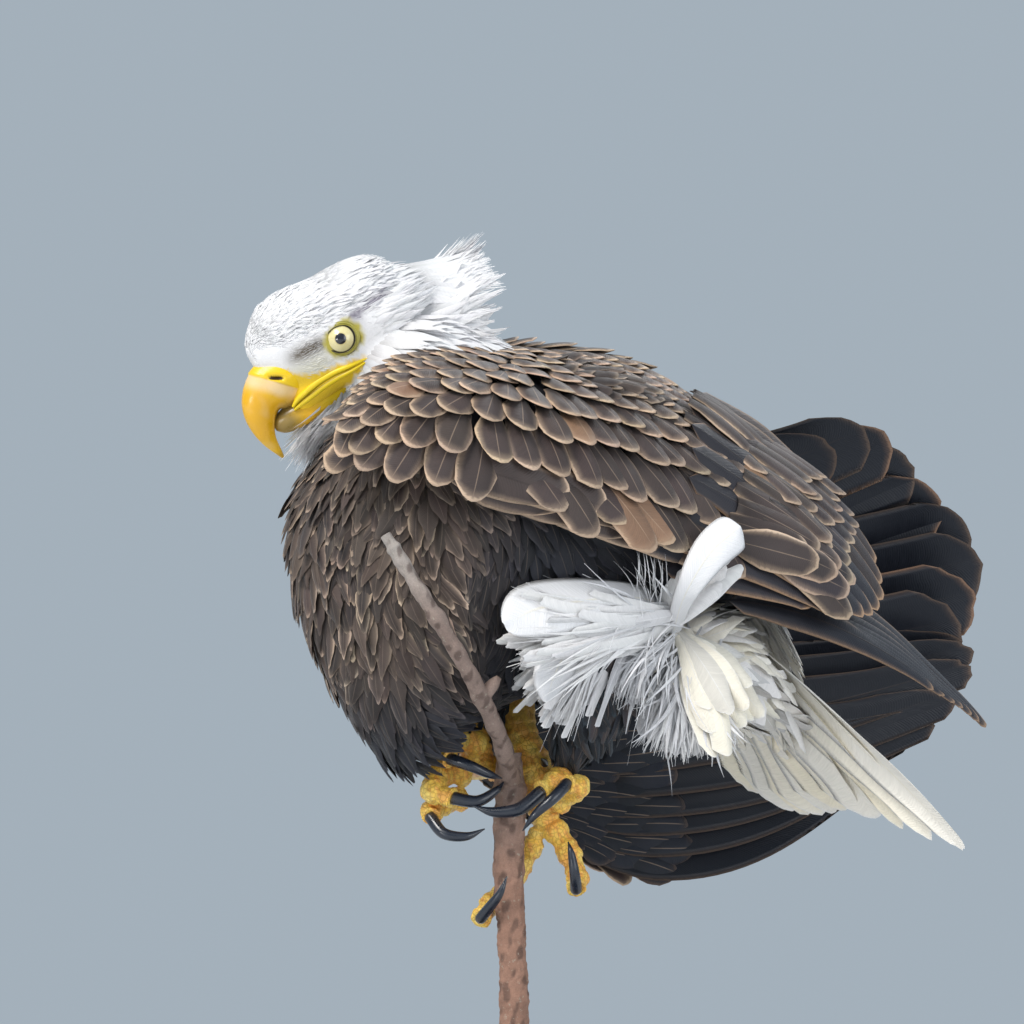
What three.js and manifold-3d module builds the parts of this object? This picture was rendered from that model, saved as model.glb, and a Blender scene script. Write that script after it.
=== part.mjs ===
// A life-size still model of a bald eagle gripping an upright branch, on a plain display stand.
// Millimetres, +Z up, the bird faces -Y and its left side is +X. The origin is on the base's underside,
// below the branch.
import * as THREE from "three";
import { mergeVertices } from "three/addons/utils/BufferGeometryUtils.js";
import Module from "manifold-3d";

const wasm = await Module();
wasm.setup();

// ---- driving dimensions ----
const GRIP_HEIGHT = 330; // middle of the toes' grip above the floor
const GRIP_TURN = 65; // degrees about +Z from the bird's own axes to the axes the feet are laid out in
const GAP = 0.5; // clearance that neighbouring solids keep
const BASE = { radius: 165, height: 22, bevel: 4, middleY: 38 };
const ROD = { radius: 8, socketRadius: 15, socketHeight: 26 };
const STEM = { bottom: -172, top: 30, radius: 10.5 };
const HEAD = { yaw: 13, pitch: 33, roll: 12, eye: [-7, -124, 293] };
const EYE = { radius: 12.5, side: 23.5, forward: 1 };
const RECTRIX = { count: 12, right: -33, left: 29, pitch: 50 };
const PRIMARIES_LEFT = 6;
const SECONDARIES_LEFT = 8;
const PRIMARIES_RIGHT = 9;
const SECONDARIES_RIGHT = 10;

const COLOUR = {
  dark: [0x3b3029, 0.75],
  flight: [0x2a2624, 0.6],
  white: [0xf2efe8, 0.8],
  yellow: [0xf0b51e, 0.45],
  claw: [0x23252b, 0.3],
  eye: [0xe8dc9a, 0.1],
  bark: [0x8a7766, 0.9],
  stand: [0x2e2b29, 0.5],
};

const v = (x, y, z) => new THREE.Vector3(x, y, z);
const lerp = THREE.MathUtils.lerp;
const rad = THREE.MathUtils.degToRad;

// ---- solids ----

// A smooth curve through a few stations, where station i of n is at t = i / (n - 1).
const through = (points) => new THREE.CatmullRomCurve3(points, false, "catmullrom", 0.5);

// One closed surface from rings of points, each end closed by a point in the middle of its ring.
function closedRings(rings, firstTip, lastTip) {
  const sides = rings[0].length;
  const points = [firstTip, ...rings.flat(), lastTip];
  const at = (ring, side) => 1 + ring * sides + (side % sides);
  const faces = [];
  for (let j = 0; j < sides; j++) {
    faces.push(0, at(0, j + 1), at(0, j));
    faces.push(points.length - 1, at(rings.length - 1, j), at(rings.length - 1, j + 1));
    for (let i = 0; i + 1 < rings.length; i++) {
      faces.push(at(i, j), at(i, j + 1), at(i + 1, j));
      faces.push(at(i, j + 1), at(i + 1, j + 1), at(i + 1, j));
    }
  }
  const geometry = new THREE.BufferGeometry().setFromPoints(points);
  geometry.setIndex(faces);
  return geometry;
}

// A body along a path of stations [x, y, z, half width, half height]. Its sections stand square to the path, or to
// axis where that is given. keel narrows them downwards.
function bodyAlong(stations, { sides = 16, steps = 12, up = v(0, 0, 1), axis = null, keel = 0 } = {}) {
  const path = through(stations.map(([x, y, z]) => v(x, y, z)));
  const sizes = through(stations.map(([, , , width, height]) => v(width, height, 0)));
  const rings = [];
  for (let i = 0; i <= steps; i++) {
    const t = i / steps;
    const centre = path.getPoint(t);
    const along = axis ? axis.clone() : path.getTangent(t);
    const across = new THREE.Vector3().crossVectors(along, up).normalize();
    const upright = new THREE.Vector3().crossVectors(across, along);
    const size = sizes.getPoint(t);
    rings.push(
      Array.from({ length: sides }, (_, j) => {
        const angle = (2 * Math.PI * j) / sides;
        return centre
          .clone()
          .addScaledVector(across, Math.cos(angle) * (1 + keel * Math.sin(angle)) * size.x)
          .addScaledVector(upright, Math.sin(angle) * size.y);
      }),
    );
  }
  const tip = (ring) => ring.reduce((sum, p) => sum.add(p), v(0, 0, 0)).divideScalar(sides);
  return closedRings(rings, tip(rings[0]), tip(rings[steps]));
}

// A closed slab on a surface of two parameters. surface(a, b) gives { point, normal, thickness };
// columns lists the values of a across it, and rows those of b along it.
function slab(surface, columns, rows) {
  const upper = [];
  const lower = [];
  for (const a of columns) {
    for (const b of rows) {
      const { point, normal, thickness } = surface(a, b);
      upper.push(point.clone().addScaledVector(normal, thickness / 2));
      lower.push(point.clone().addScaledVector(normal, -thickness / 2));
    }
  }
  const n = upper.length;
  const at = (i, j) => i * rows.length + j;
  const faces = [];
  const quad = (a, b, c, d) => faces.push(a, b, c, a, c, d);
  const lastColumn = columns.length - 1;
  const lastRow = rows.length - 1;
  for (let i = 0; i < lastColumn; i++) {
    for (let j = 0; j < lastRow; j++) {
      quad(at(i, j), at(i + 1, j), at(i + 1, j + 1), at(i, j + 1));
      quad(n + at(i, j), n + at(i, j + 1), n + at(i + 1, j + 1), n + at(i + 1, j));
    }
    quad(at(i, 0), n + at(i, 0), n + at(i + 1, 0), at(i + 1, 0));
    quad(at(i, lastRow), at(i + 1, lastRow), n + at(i + 1, lastRow), n + at(i, lastRow));
  }
  for (let j = 0; j < lastRow; j++) {
    quad(at(0, j), at(0, j + 1), n + at(0, j + 1), n + at(0, j));
    quad(at(lastColumn, j), n + at(lastColumn, j), n + at(lastColumn, j + 1), at(lastColumn, j + 1));
  }
  const geometry = new THREE.BufferGeometry().setFromPoints([...upper, ...lower]);
  geometry.setIndex(faces);
  return geometry;
}

const evenly = (count, from = 0, to = 1) =>
  Array.from({ length: count }, (_, i) => lerp(from, to, i / (count - 1)));

// A fan of overlapping feathers as one pleated slab. root(s) and tip(s) give the two ends of the vane at s
// from 0 to 1 across the fan, bow(s) how far its middle is pushed out of the straight, and face(s) which way
// its outer side looks.
const TIP_SHAPE = [
  [0.03, 0.95],
  [0.5, 1],
  [0.97, 0.92],
];
function featherFan({ count, root, tip, bow, face, from = 0, thick = 3, thin = 1.3, pleat = 2.2, rows = 5 }) {
  const columns = [];
  for (let i = 0; i < count; i++) {
    for (const [share, reach] of TIP_SHAPE) columns.push({ s: (i + share) / count, share, reach });
  }
  const surface = ({ s, share, reach }, b) => {
    const t = b * reach;
    const normal = face(s);
    const point = root(s).lerp(tip(s), t).add(bow(s).multiplyScalar(4 * t * (1 - t)));
    point.addScaledVector(normal, pleat * (0.5 - share) * b);
    return { point, normal, thickness: lerp(thick, thin, b) };
  };
  return slab(surface, columns, evenly(rows, from, 1));
}

// A manifold-3d solid of a geometry, turned the right way out and grown all round by a distance.
function solidOf(geometry, grow = 0) {
  const bare = geometry.clone();
  bare.deleteAttribute("normal");
  bare.deleteAttribute("uv");
  const merged = mergeVertices(bare, 1e-3);
  const build = () =>
    new wasm.Manifold(
      new wasm.Mesh({
        numProp: 3,
        vertProperties: merged.attributes.position.array,
        triVerts: new Uint32Array(merged.index.array),
      }),
    );
  if (build().volume() < 0) merged.index.array.reverse();
  if (grow) {
    merged.computeVertexNormals();
    const { position, normal } = merged.attributes;
    for (let i = 0; i < position.array.length; i++) position.array[i] += grow * normal.array[i];
  }
  return build();
}

// The solid without its neighbours and a gap round them, and without any crumb that the cuts leave.
function without(geometry, ...neighbours) {
  let solid = solidOf(geometry);
  for (const neighbour of neighbours) solid = solid.subtract(solidOf(neighbour, GAP));
  const pieces = solid.decompose();
  return pieces.reduce((largest, piece) => (piece.volume() > largest.volume() ? piece : largest));
}

const model = new THREE.Group();
const bird = new THREE.Group();
bird.position.z = GRIP_HEIGHT;
model.add(bird);

function addMesh(parent, name, shape, finish) {
  let geometry = shape;
  if (!shape.isBufferGeometry) {
    const { vertProperties, triVerts } = shape.getMesh();
    geometry = new THREE.BufferGeometry();
    geometry.setAttribute("position", new THREE.BufferAttribute(new Float32Array(vertProperties), 3));
    geometry.setIndex(new THREE.BufferAttribute(new Uint32Array(triVerts), 1));
  }
  geometry.computeVertexNormals();
  const [color, roughness] = COLOUR[finish];
  const mesh = new THREE.Mesh(geometry, new THREE.MeshStandardMaterial({ color, roughness, metalness: 0 }));
  mesh.name = name;
  parent.add(mesh);
}

// ---- trunk, thighs and neck ----

// Stations from the breast back to the root of the tail: x, y, z, half width, half height.
const TRUNK = bodyAlong(
  [
    [0, -147, 156, 6, 8],
    [0, -138, 154, 38, 52],
    [0, -110, 150, 72, 98],
    [0, -76, 147, 91, 130],
    [0, -38, 157, 97, 120],
    [0, 4, 175, 96, 114],
    [0, 48, 188, 88, 102],
    [0, 92, 195, 70, 80],
    [0, 135, 180, 50, 54],
    [0, 174, 154, 26, 26],
  ],
  { sides: 20, steps: 11, axis: v(0, 1, 0), keel: 0.22 },
);
const THIGH = { sides: 10, steps: 5, up: v(0, 1, 0) };
const THIGH_LEFT = bodyAlong(
  [
    [52, 8, 128, 36, 40],
    [50, 26, 98, 36, 40],
    [42, 34, 66, 30, 33],
    [30, 32, 40, 20, 22],
    [22, 29, 26, 12, 13],
  ],
  THIGH,
);
const THIGH_RIGHT = bodyAlong(
  [
    [-52, -6, 128, 36, 40],
    [-48, 2, 104, 36, 40],
    [-40, 2, 78, 30, 32],
    [-31, -6, 58, 20, 22],
    [-26, -11, 46, 13, 14],
  ],
  THIGH,
);
const NECK = bodyAlong(
  [
    [0, -16, 230, 60, 60],
    [-1, -42, 250, 57, 58],
    [-3, -66, 268, 50, 52],
    [-5, -88, 282, 43, 46],
    [-7, -104, 290, 34, 38],
  ],
  { sides: 16, steps: 6, axis: v(0, -0.84, 0.54) },
);

// ---- head: its own axes are forward, to the left and up, with the middle between the eyes as origin ----
const headFrame = new THREE.Matrix4()
  .makeRotationZ(rad(-HEAD.yaw))
  .multiply(new THREE.Matrix4().makeRotationX(rad(HEAD.pitch)))
  .multiply(new THREE.Matrix4().makeRotationY(rad(HEAD.roll)))
  .setPosition(...HEAD.eye);
// A point given as forward, left and up of the head, in the bird's axes.
const onHead = (forward, left, up) => v(left, -forward, up).applyMatrix4(headFrame);
const inHead = (geometry) => geometry.applyMatrix4(headFrame);
const headBody = (stations, options) =>
  inHead(bodyAlong(stations.map(([f, l, u, w, h]) => [l, -f, u, w, h]), options));

// forward, left, up, half width, half height
const SKULL = headBody(
  [
    [-60, 0, -3, 14, 18],
    [-48, 0, -1, 28, 32],
    [-28, 0, -2, 33, 38],
    [-4, 0, -2, 31.5, 38],
    [20, 0, 0, 28, 38],
    [38, 0, 1, 23, 33],
    [51, 0, -1, 16, 23],
    [57, 0, -5, 9, 14],
  ],
  { sides: 14, steps: 9, axis: v(0, -1, 0) },
);
const eyeBall = (side) =>
  new THREE.SphereGeometry(EYE.radius, 10, 8).translate(
    ...onHead(EYE.forward, side * EYE.side, 0).toArray(),
  );

// Upper bill: cere, then the beak bending over into the hook.
const UPPER_BILL = headBody(
  [
    [32, 0, -6, 14, 15],
    [43, 0, -8, 13, 17],
    [52, 0, -10, 11, 17],
    [60, 0, -15, 9, 14],
    [65, 0, -24, 6.6, 10.5],
    [67, 0, -36, 4, 6],
    [65.5, 0, -51, 0.8, 0.9],
  ],
  { sides: 10, steps: 8, up: v(0, -1, 1) },
);
const LOWER_BILL = headBody(
  [
    [0, 0, -30, 14, 8],
    [20, 0, -33, 12.5, 9],
    [36, 0, -35, 9.5, 8],
    [48, 0, -35, 6.5, 6],
    [54, 0, -34, 3, 2.6],
  ],
  { sides: 10, steps: 5, up: v(0, -1, 1) },
);

// Hackles of the nape, blown back and up into points: a cone with a ragged end.
const HACKLE = { points: 9, inner: 0.72, steps: 3, start: [-6, -94, 288], end: [0, -10, 317] };
function hackles() {
  const start = v(...HACKLE.start);
  const along = v(...HACKLE.end).sub(start);
  const forward = along.clone().normalize();
  const across = new THREE.Vector3().crossVectors(forward, v(0, 0, 1)).normalize();
  const upright = new THREE.Vector3().crossVectors(across, forward);
  const rings = [];
  for (let i = 0; i <= HACKLE.steps; i++) {
    const t = i / HACKLE.steps;
    const width = lerp(32, 40, t);
    const height = lerp(38, 47, t);
    rings.push(
      Array.from({ length: 2 * HACKLE.points }, (_, j) => {
        const angle = (Math.PI * j) / HACKLE.points;
        const reach = t * (j % 2 ? 1 : HACKLE.inner) * lerp(0.8, 1.08, (Math.sin(angle) + 1) / 2);
        return start
          .clone()
          .addScaledVector(along, reach)
          .addScaledVector(across, Math.cos(angle) * width)
          .addScaledVector(upright, Math.sin(angle) * height);
      }),
    );
  }
  return closedRings(rings, start, start.clone().addScaledVector(along, HACKLE.inner * 0.8));
}

// ---- left wing, folded ----
// Its outer surface runs from the wrist, w = 0, to the tips, w = 1, and from its upper edge, b = 0,
// to its lower one, b = 1.
const WING_TOP = through([
  v(48, -143, 234), v(42, -108, 268), v(24, -52, 289), v(8, 20, 297), v(2, 92, 292), v(6, 164, 250),
]);
const WING_FOOT = through([
  v(64, -156, 195), v(96, -116, 176), v(113, -62, 160), v(114, 0, 142), v(104, 66, 128), v(90, 124, 138),
]);
const WING_BULGE = 30;
function foldedWing(w, b) {
  const top = WING_TOP.getPoint(w);
  const foot = WING_FOOT.getPoint(w);
  const bulge = WING_BULGE * Math.sin(Math.PI * (0.25 + 0.6 * w)) + 12;
  const point = top.lerp(foot, b);
  return point.add(v(0.9, 0, 0.45).multiplyScalar(bulge * Math.sin(Math.PI * b)));
}
const STEP = 0.01;
function foldedWingSlab(w, b) {
  const alongWing = foldedWing(Math.min(1, w + STEP), b).sub(foldedWing(Math.max(0, w - STEP), b));
  const acrossWing = foldedWing(w, Math.min(1, b + STEP)).sub(foldedWing(w, Math.max(0, b - STEP)));
  const normal = new THREE.Vector3().crossVectors(acrossWing, alongWing).normalize();
  const thickness = lerp(5, 17, Math.sqrt(Math.sin(Math.PI * (0.08 + 0.84 * b)))) * lerp(1, 0.55, w);
  return { point: foldedWing(w, b), normal, thickness };
}
const WING_LEFT_ARM = slab(foldedWingSlab, evenly(9), evenly(5));

// Flight feathers of the left wing: each fan starts just behind the covert slab.
const WING_SIDE = v(0.94, 0.1, 0.32).normalize();
const fanSurface = (root, tip, bow) => ({ root: (s) => root.getPoint(s), tip: (s) => tip.getPoint(s), bow });
const SECONDARY_FAN = featherFan({
  ...fanSurface(
    through([v(92, 84, 136), v(103, 100, 166), v(88, 118, 204), v(58, 134, 236), v(10, 160, 256)]),
    through([v(86, 166, 128), v(76, 206, 124), v(58, 234, 126), v(34, 256, 142), v(11, 262, 174)]),
    () => v(5, 0, 4),
  ),
  count: SECONDARIES_LEFT,
  face: () => WING_SIDE.clone(),
  thick: 7,
  thin: 1.6,
  rows: 4,
});
const PRIMARY_FAN = featherFan({
  ...fanSurface(
    through([v(80, 160, 112), v(62, 196, 112), v(34, 222, 132)]),
    through([v(44, 284, 82), v(30, 318, 70), v(18, 346, 57)]),
    () => v(4, 0, 8),
  ),
  count: PRIMARIES_LEFT,
  face: () => WING_SIDE.clone(),
  thick: 5,
  thin: 1.6,
  rows: 4,
});

// ---- right wing, half open and drooping, its tips bent up into a bowl behind the tail ----
const SHOULDER_R = v(-66, -64, 228);
const ELBOW_R = v(-112, 116, 216);
const WRIST_R = v(-160, 6, 64);
const HAND_R = v(-166, 104, -4);
const FORE_ARM = through([ELBOW_R, v(-140, 52, 140), WRIST_R]);
const HAND = through([WRIST_R, v(-172, 52, 34), HAND_R]);
const SECONDARY_TIP_R = through([
  v(-96, 278, 250), v(-118, 332, 275), v(-135, 368, 266), v(-150, 408, 236), v(-155, 443, 206), v(-150, 436, 168),
  v(-142, 412, 138),
]);
const PRIMARY_TIP_R = through([
  v(-142, 412, 138), v(-132, 424, 124), v(-142, 404, 86), v(-155, 372, 66), v(-168, 338, 32),
]);
const SECONDARY_FAN_R = {
  ...fanSurface(FORE_ARM, SECONDARY_TIP_R, (s) => v(-34, 6, -8).multiplyScalar(lerp(0.7, 1, s))),
  count: SECONDARIES_RIGHT,
  face: (s) => v(-0.93, 0.12, lerp(0.5, 0.1, s)).normalize(),
};
const PRIMARY_FAN_R = {
  ...fanSurface(HAND, PRIMARY_TIP_R, (s) => v(lerp(-34, -16, s), 6, lerp(-8, -42, s))),
  count: PRIMARIES_RIGHT,
  face: (s) => v(-0.88, 0.1, lerp(0.1, -0.45, s)).normalize(),
};
const COVERT_END = 0.36; // share of the vane that the coverts hide
function armPatch(fan, share = COVERT_END) {
  const surface = (s, t) => ({
    point: fan.root(s).lerp(fan.tip(s), t).add(fan.bow(s).multiplyScalar(4 * t * (1 - t))),
    normal: fan.face(s),
    thickness: lerp(20, 7, Math.sqrt(t / COVERT_END)),
  });
  return slab(surface, evenly(7, 0.004, 0.996), evenly(4, 0, share));
}

// ---- tail ----
const TAIL_ROOT = v(0, 124, 142);
const RECTRIX_LENGTH = [186, 188, 190, 190, 188, 186, 184, 186, 196, 212, 230, 252];
function tailDirection(s) {
  const angle = rad(lerp(RECTRIX.right, RECTRIX.left, s));
  const pitch = rad(RECTRIX.pitch);
  const ahead = Math.cos(angle);
  return v(Math.sin(angle), ahead * Math.cos(pitch), -ahead * Math.sin(pitch));
}
function rectrixTip(s) {
  const feather = Math.min(RECTRIX.count - 1, Math.floor(s * RECTRIX.count));
  return TAIL_ROOT.clone().addScaledVector(tailDirection(s), RECTRIX_LENGTH[feather]);
}
const TAIL = featherFan({
  count: RECTRIX.count,
  root: (s) => TAIL_ROOT.clone().addScaledVector(tailDirection(s), 56),
  tip: rectrixTip,
  bow: () => v(0, 5, 6),
  face: () => v(0, Math.sin(rad(RECTRIX.pitch)), Math.cos(rad(RECTRIX.pitch))),
  thick: 6,
  thin: 1.6,
  rows: 3,
});

// The white coverts under and over the root of the tail, as one ruffled body.
const TAIL_COVERTS = bodyAlong(
  [
    [14, 70, 104, 26, 20],
    [14, 96, 102, 46, 32],
    [10, 126, 96, 54, 34],
    [4, 156, 82, 52, 26],
    [2, 184, 62, 40, 10],
  ],
  { sides: 12, steps: 6, axis: v(0, 0.8, -0.6) },
);
// A few long covert feathers that the wind has turned forward and up.
const BLOWN = {
  blown_covert_front: [
    [62, 88, 116, 8, 13],
    [80, 58, 123, 5, 15],
    [93, 26, 121, 1.8, 17],
    [99, -5, 116, 1.6, 17],
    [100, -31, 110, 1.4, 15],
    [98, -49, 99, 1, 7],
  ],
  blown_covert_low: [
    [66, 84, 92, 6, 12],
    [82, 50, 97, 4, 14],
    [92, 20, 95, 1.8, 14],
    [97, -3, 88, 1.5, 14],
    [95, -14, 70, 1.3, 11],
    [90, -17, 54, 1, 5],
  ],
  blown_covert_top: [
    [68, 82, 100, 7, 12],
    [104, 72, 122, 3, 13],
    [119, 82, 148, 1.7, 15],
    [123, 96, 162, 1.4, 12],
    [125, 102, 167, 1, 6],
  ],
};

// ---- feet: laid out about the stem in axes turned to face the side the toes close on ----
const gripTurn = new THREE.Matrix4().makeRotationZ(rad(GRIP_TURN));
const aroundStem = (points) =>
  points.map(([right, back, up, width, height]) => {
    const p = v(right, back, up).applyMatrix4(gripTurn);
    return [p.x, p.y, p.z, width, height ?? width];
  });
const digit = (points, { sides = 7, steps = 5 } = {}) =>
  bodyAlong(aroundStem(points), { sides, steps, up: v(0.1, 0.05, 1) });

// Each toe: the joints of the toe, then those of its claw, as right, back, up and radius.
const TOES = {
  toe_right_1: {
    toe: [[-20, 4, 36, 8.4], [-34, -8, 39, 8.8], [-46, -20, 30, 8], [-38, -28, 24, 6.2]],
    claw: [[-37, -29, 23.5, 4.8], [-25, -32, 19, 4.3], [-13, -28, 14, 3.2], [-5, -22, 12, 0.8]],
  },
  toe_right_2: {
    toe: [[-28, 4, 18, 8.4], [-44, -6, 16, 8.6], [-48, -20, 4, 8], [-36, -26, -1, 6]],
    claw: [[-35, -26, -1, 5.2], [-21, -27, -3, 4.6], [-9, -23, 4, 3.2], [-4, -19, 10, 0.8]],
  },
  toe_right_3: {
    toe: [[-30, 10, 2, 8], [-44, 2, -2, 8], [-50, -8, -8, 7], [-50, -16, -12, 5.4]],
    claw: [[-50, -17, -13, 4.8], [-42, -23, -23, 4.4], [-28, -24, -25, 3.4], [-16, -21, -20, 0.8]],
  },
  toe_right_4: {
    toe: [[-20, 16, 26, 8], [-8, 24, 22, 8], [6, 22, 20, 7]],
    claw: [[8, 22, 20, 5.6], [18, 16, 21, 4.4], [22, 6, 24, 3.2], [20, -6, 26, 0.8]],
  },
  toe_left_1: {
    toe: [[27, 4, 10, 8.4], [32, -8, 12, 8.6], [28, -20, 8, 8], [20, -26, 3, 6.6]],
    claw: [[19, -26, 2, 5.8], [6, -30, -8, 5.2], [-10, -30, -10, 4], [-24, -30, -6, 0.8]],
  },
  toe_left_2: {
    toe: [[30, 6, -2, 8], [40, -4, 6, 8], [43, -18, 7, 7.2], [36, -27, 8, 5.6]],
    claw: [[35.5, -28, 7.5, 4.8], [27, -36, -2, 4.4], [16, -36, -12, 3.2], [8, -32, -22, 0.8]],
  },
  toe_left_3: {
    toe: [[28, 12, -16, 8], [38, 8, -34, 7.6], [43, 2, -50, 6.8], [42, -8, -57, 5.6]],
    claw: [[42, -10, -57, 4.6], [41, -18, -48, 4], [39, -20, -36, 2.8], [37, -18, -28, 0.8]],
  },
  toe_left_4: {
    toe: [[16, 16, -26, 7.6], [4, 20, -46, 7.2], [-12, 14, -66, 6.8], [-19, 0, -76, 6.2]],
    claw: [[-18, -3, -75, 4.6], [-12, -12, -68, 4], [-6, -17, -60, 2.8], [-2, -18, -50, 0.8]],
  },
};
const METATARSUS = {
  tarsus_right: [[-26, 28, 74, 10, 11], [-25, 21, 54, 10, 11], [-22, 15, 34, 11, 11], [-21, 13, 16, 11, 11]],
  tarsus_left: [[4, 26, 72, 10, 11], [8, 21, 44, 10, 10.5], [18, 15, 16, 13, 13], [21, 16, -10, 11, 11]],
};

// ---- branch ----
const STEM_BODY = bodyAlong(
  [
    [4, 2, STEM.bottom, STEM.radius, STEM.radius],
    [3, 1, -110, STEM.radius * 0.92, STEM.radius * 0.92],
    [-2, 0, -50, STEM.radius * 1.02, STEM.radius * 1.02],
    [0, 0, 0, STEM.radius * 1.1, STEM.radius * 1.1],
    [2, -2, STEM.top, STEM.radius * 0.9, STEM.radius * 0.9],
  ],
  { sides: 10, steps: 8, up: v(0, 1, 0) },
);
const TWIG = digit(
  [
    [0, -6, 16, 7],
    [-5, -40, 32, 6.4],
    [-17, -82, 56, 6],
    [-33, -108, 84, 5.6],
    [-51, -124, 112, 5.2],
    [-70, -127, 143, 4.6],
    [-77, -127, 154, 3.6],
  ],
  { sides: 7, steps: 8 },
);
const KNOT = digit([[-15, -84, 60, 4.2], [-10, -86, 66, 3.6], [-7, -87, 70, 1.8]], { sides: 6, steps: 2 });

// ---- assembly ----
const leftEye = eyeBall(1);
const rightEye = eyeBall(-1);
const nape = hackles();
addMesh(bird, "trunk", solidOf(TRUNK), "dark");
addMesh(bird, "neck", without(NECK, TRUNK), "white");
addMesh(bird, "hackles", without(nape, TRUNK, NECK, SKULL), "white");
addMesh(bird, "head", without(SKULL, NECK, TRUNK, leftEye, rightEye), "white");
addMesh(bird, "eye_left", solidOf(leftEye), "eye");
addMesh(bird, "eye_right", solidOf(rightEye), "eye");
addMesh(bird, "bill_upper", without(UPPER_BILL, SKULL), "yellow");
addMesh(bird, "bill_lower", without(LOWER_BILL, SKULL, UPPER_BILL, NECK), "yellow");

addMesh(bird, "thigh_left", without(THIGH_LEFT, TRUNK, STEM_BODY), "dark");
addMesh(bird, "thigh_right", without(THIGH_RIGHT, TRUNK, STEM_BODY), "dark");

addMesh(bird, "wing_left_arm", without(WING_LEFT_ARM, TRUNK, NECK, SKULL, nape), "dark");
addMesh(bird, "wing_left_secondaries", without(SECONDARY_FAN, WING_LEFT_ARM, TRUNK), "flight");
addMesh(bird, "wing_left_primaries", without(PRIMARY_FAN, SECONDARY_FAN, WING_LEFT_ARM), "flight");

const leftWing = [WING_LEFT_ARM, SECONDARY_FAN, PRIMARY_FAN];
addMesh(bird, "tail_coverts", without(TAIL_COVERTS, TRUNK, THIGH_LEFT, ...leftWing), "white");
const besideCoverts = [TAIL_COVERTS, TRUNK, THIGH_LEFT, ...leftWing];
for (const [name, path] of Object.entries(BLOWN)) {
  const blade = bodyAlong(path, { sides: 6, steps: 6 });
  addMesh(bird, name, without(blade, ...besideCoverts), "white");
  besideCoverts.push(blade);
}
addMesh(bird, "tail", without(TAIL, TAIL_COVERTS, TRUNK, ...leftWing), "white");

const UPPER_ARM = bodyAlong(
  [
    [SHOULDER_R.x + 4, SHOULDER_R.y - 24, SHOULDER_R.z - 12, 18, 24],
    [SHOULDER_R.x, SHOULDER_R.y + 14, SHOULDER_R.z, 30, 42],
    [SHOULDER_R.x - 12, 30, 234, 28, 46],
    [ELBOW_R.x + 10, ELBOW_R.y - 12, ELBOW_R.z + 4, 18, 36],
  ],
  { sides: 10, steps: 5 },
);
const forearm = armPatch(SECONDARY_FAN_R);
const hand = armPatch(PRIMARY_FAN_R);
const flights = (fan) => featherFan({ ...fan, from: COVERT_END, thick: 4 });
const secondaries = flights(SECONDARY_FAN_R);
addMesh(bird, "wing_right_upper", without(UPPER_ARM, TRUNK, NECK), "dark");
addMesh(bird, "wing_right_forearm", without(forearm, UPPER_ARM, TRUNK), "dark");
addMesh(bird, "wing_right_hand", without(hand, forearm), "dark");
addMesh(bird, "wing_right_secondaries", without(secondaries, forearm, hand, UPPER_ARM), "flight");
const primaries = flights(PRIMARY_FAN_R);
addMesh(bird, "wing_right_primaries", without(primaries, secondaries, forearm, hand, TAIL), "flight");

const placed = [STEM_BODY, THIGH_LEFT, THIGH_RIGHT, TRUNK];
function addDigit(name, shape, finish) {
  addMesh(bird, name, without(shape, ...placed), finish);
  placed.push(shape);
}
for (const [name, stations] of Object.entries(METATARSUS)) {
  addDigit(name, digit(stations, { sides: 9 }), "yellow");
}
for (const [name, { toe, claw }] of Object.entries(TOES)) {
  addDigit(name, digit(toe), "yellow");
  addDigit(name.replace("toe", "claw"), digit(claw, { sides: 5, steps: 5 }), "claw");
}
addMesh(bird, "perch_stem", solidOf(STEM_BODY), "bark");
addMesh(bird, "perch_twig", without(TWIG, ...placed), "bark");
addMesh(bird, "perch_knot", without(KNOT, TWIG), "bark");

// ---- stand: a flat round base and one rod with a socket for the branch ----
const lathe = (profile, segments) => new THREE.LatheGeometry(profile, segments).rotateX(Math.PI / 2);
const socketTop = GRIP_HEIGHT + STEM.bottom;
const baseProfile = [
  new THREE.Vector2(0, 0),
  new THREE.Vector2(BASE.radius, 0),
  new THREE.Vector2(BASE.radius, BASE.height - BASE.bevel),
  new THREE.Vector2(BASE.radius - BASE.bevel, BASE.height),
  new THREE.Vector2(0, BASE.height),
];
const rodProfile = [
  new THREE.Vector2(0, BASE.height + GAP),
  new THREE.Vector2(ROD.radius, BASE.height + GAP),
  new THREE.Vector2(ROD.radius, socketTop - ROD.socketHeight),
  new THREE.Vector2(ROD.socketRadius, socketTop - ROD.socketHeight / 2),
  new THREE.Vector2(ROD.socketRadius, socketTop - GAP),
  new THREE.Vector2(0, socketTop - GAP),
];
addMesh(model, "stand_base", solidOf(lathe(baseProfile, 32).translate(0, BASE.middleY, 0)), "stand");
addMesh(model, "stand_rod", solidOf(lathe(rodProfile, 10)), "stand");

export default model;
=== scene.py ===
"""Looks of a life-size still model of a bald eagle on a cut branch, with its stand.

Shapes are worked out in millimetres in the bird's own axes: it faces -Y, its left is +X, and the origin is
the grip of its feet, GRIP_HEIGHT above the floor. `to_metres` takes them to the shared frame.
"""

import math

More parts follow.
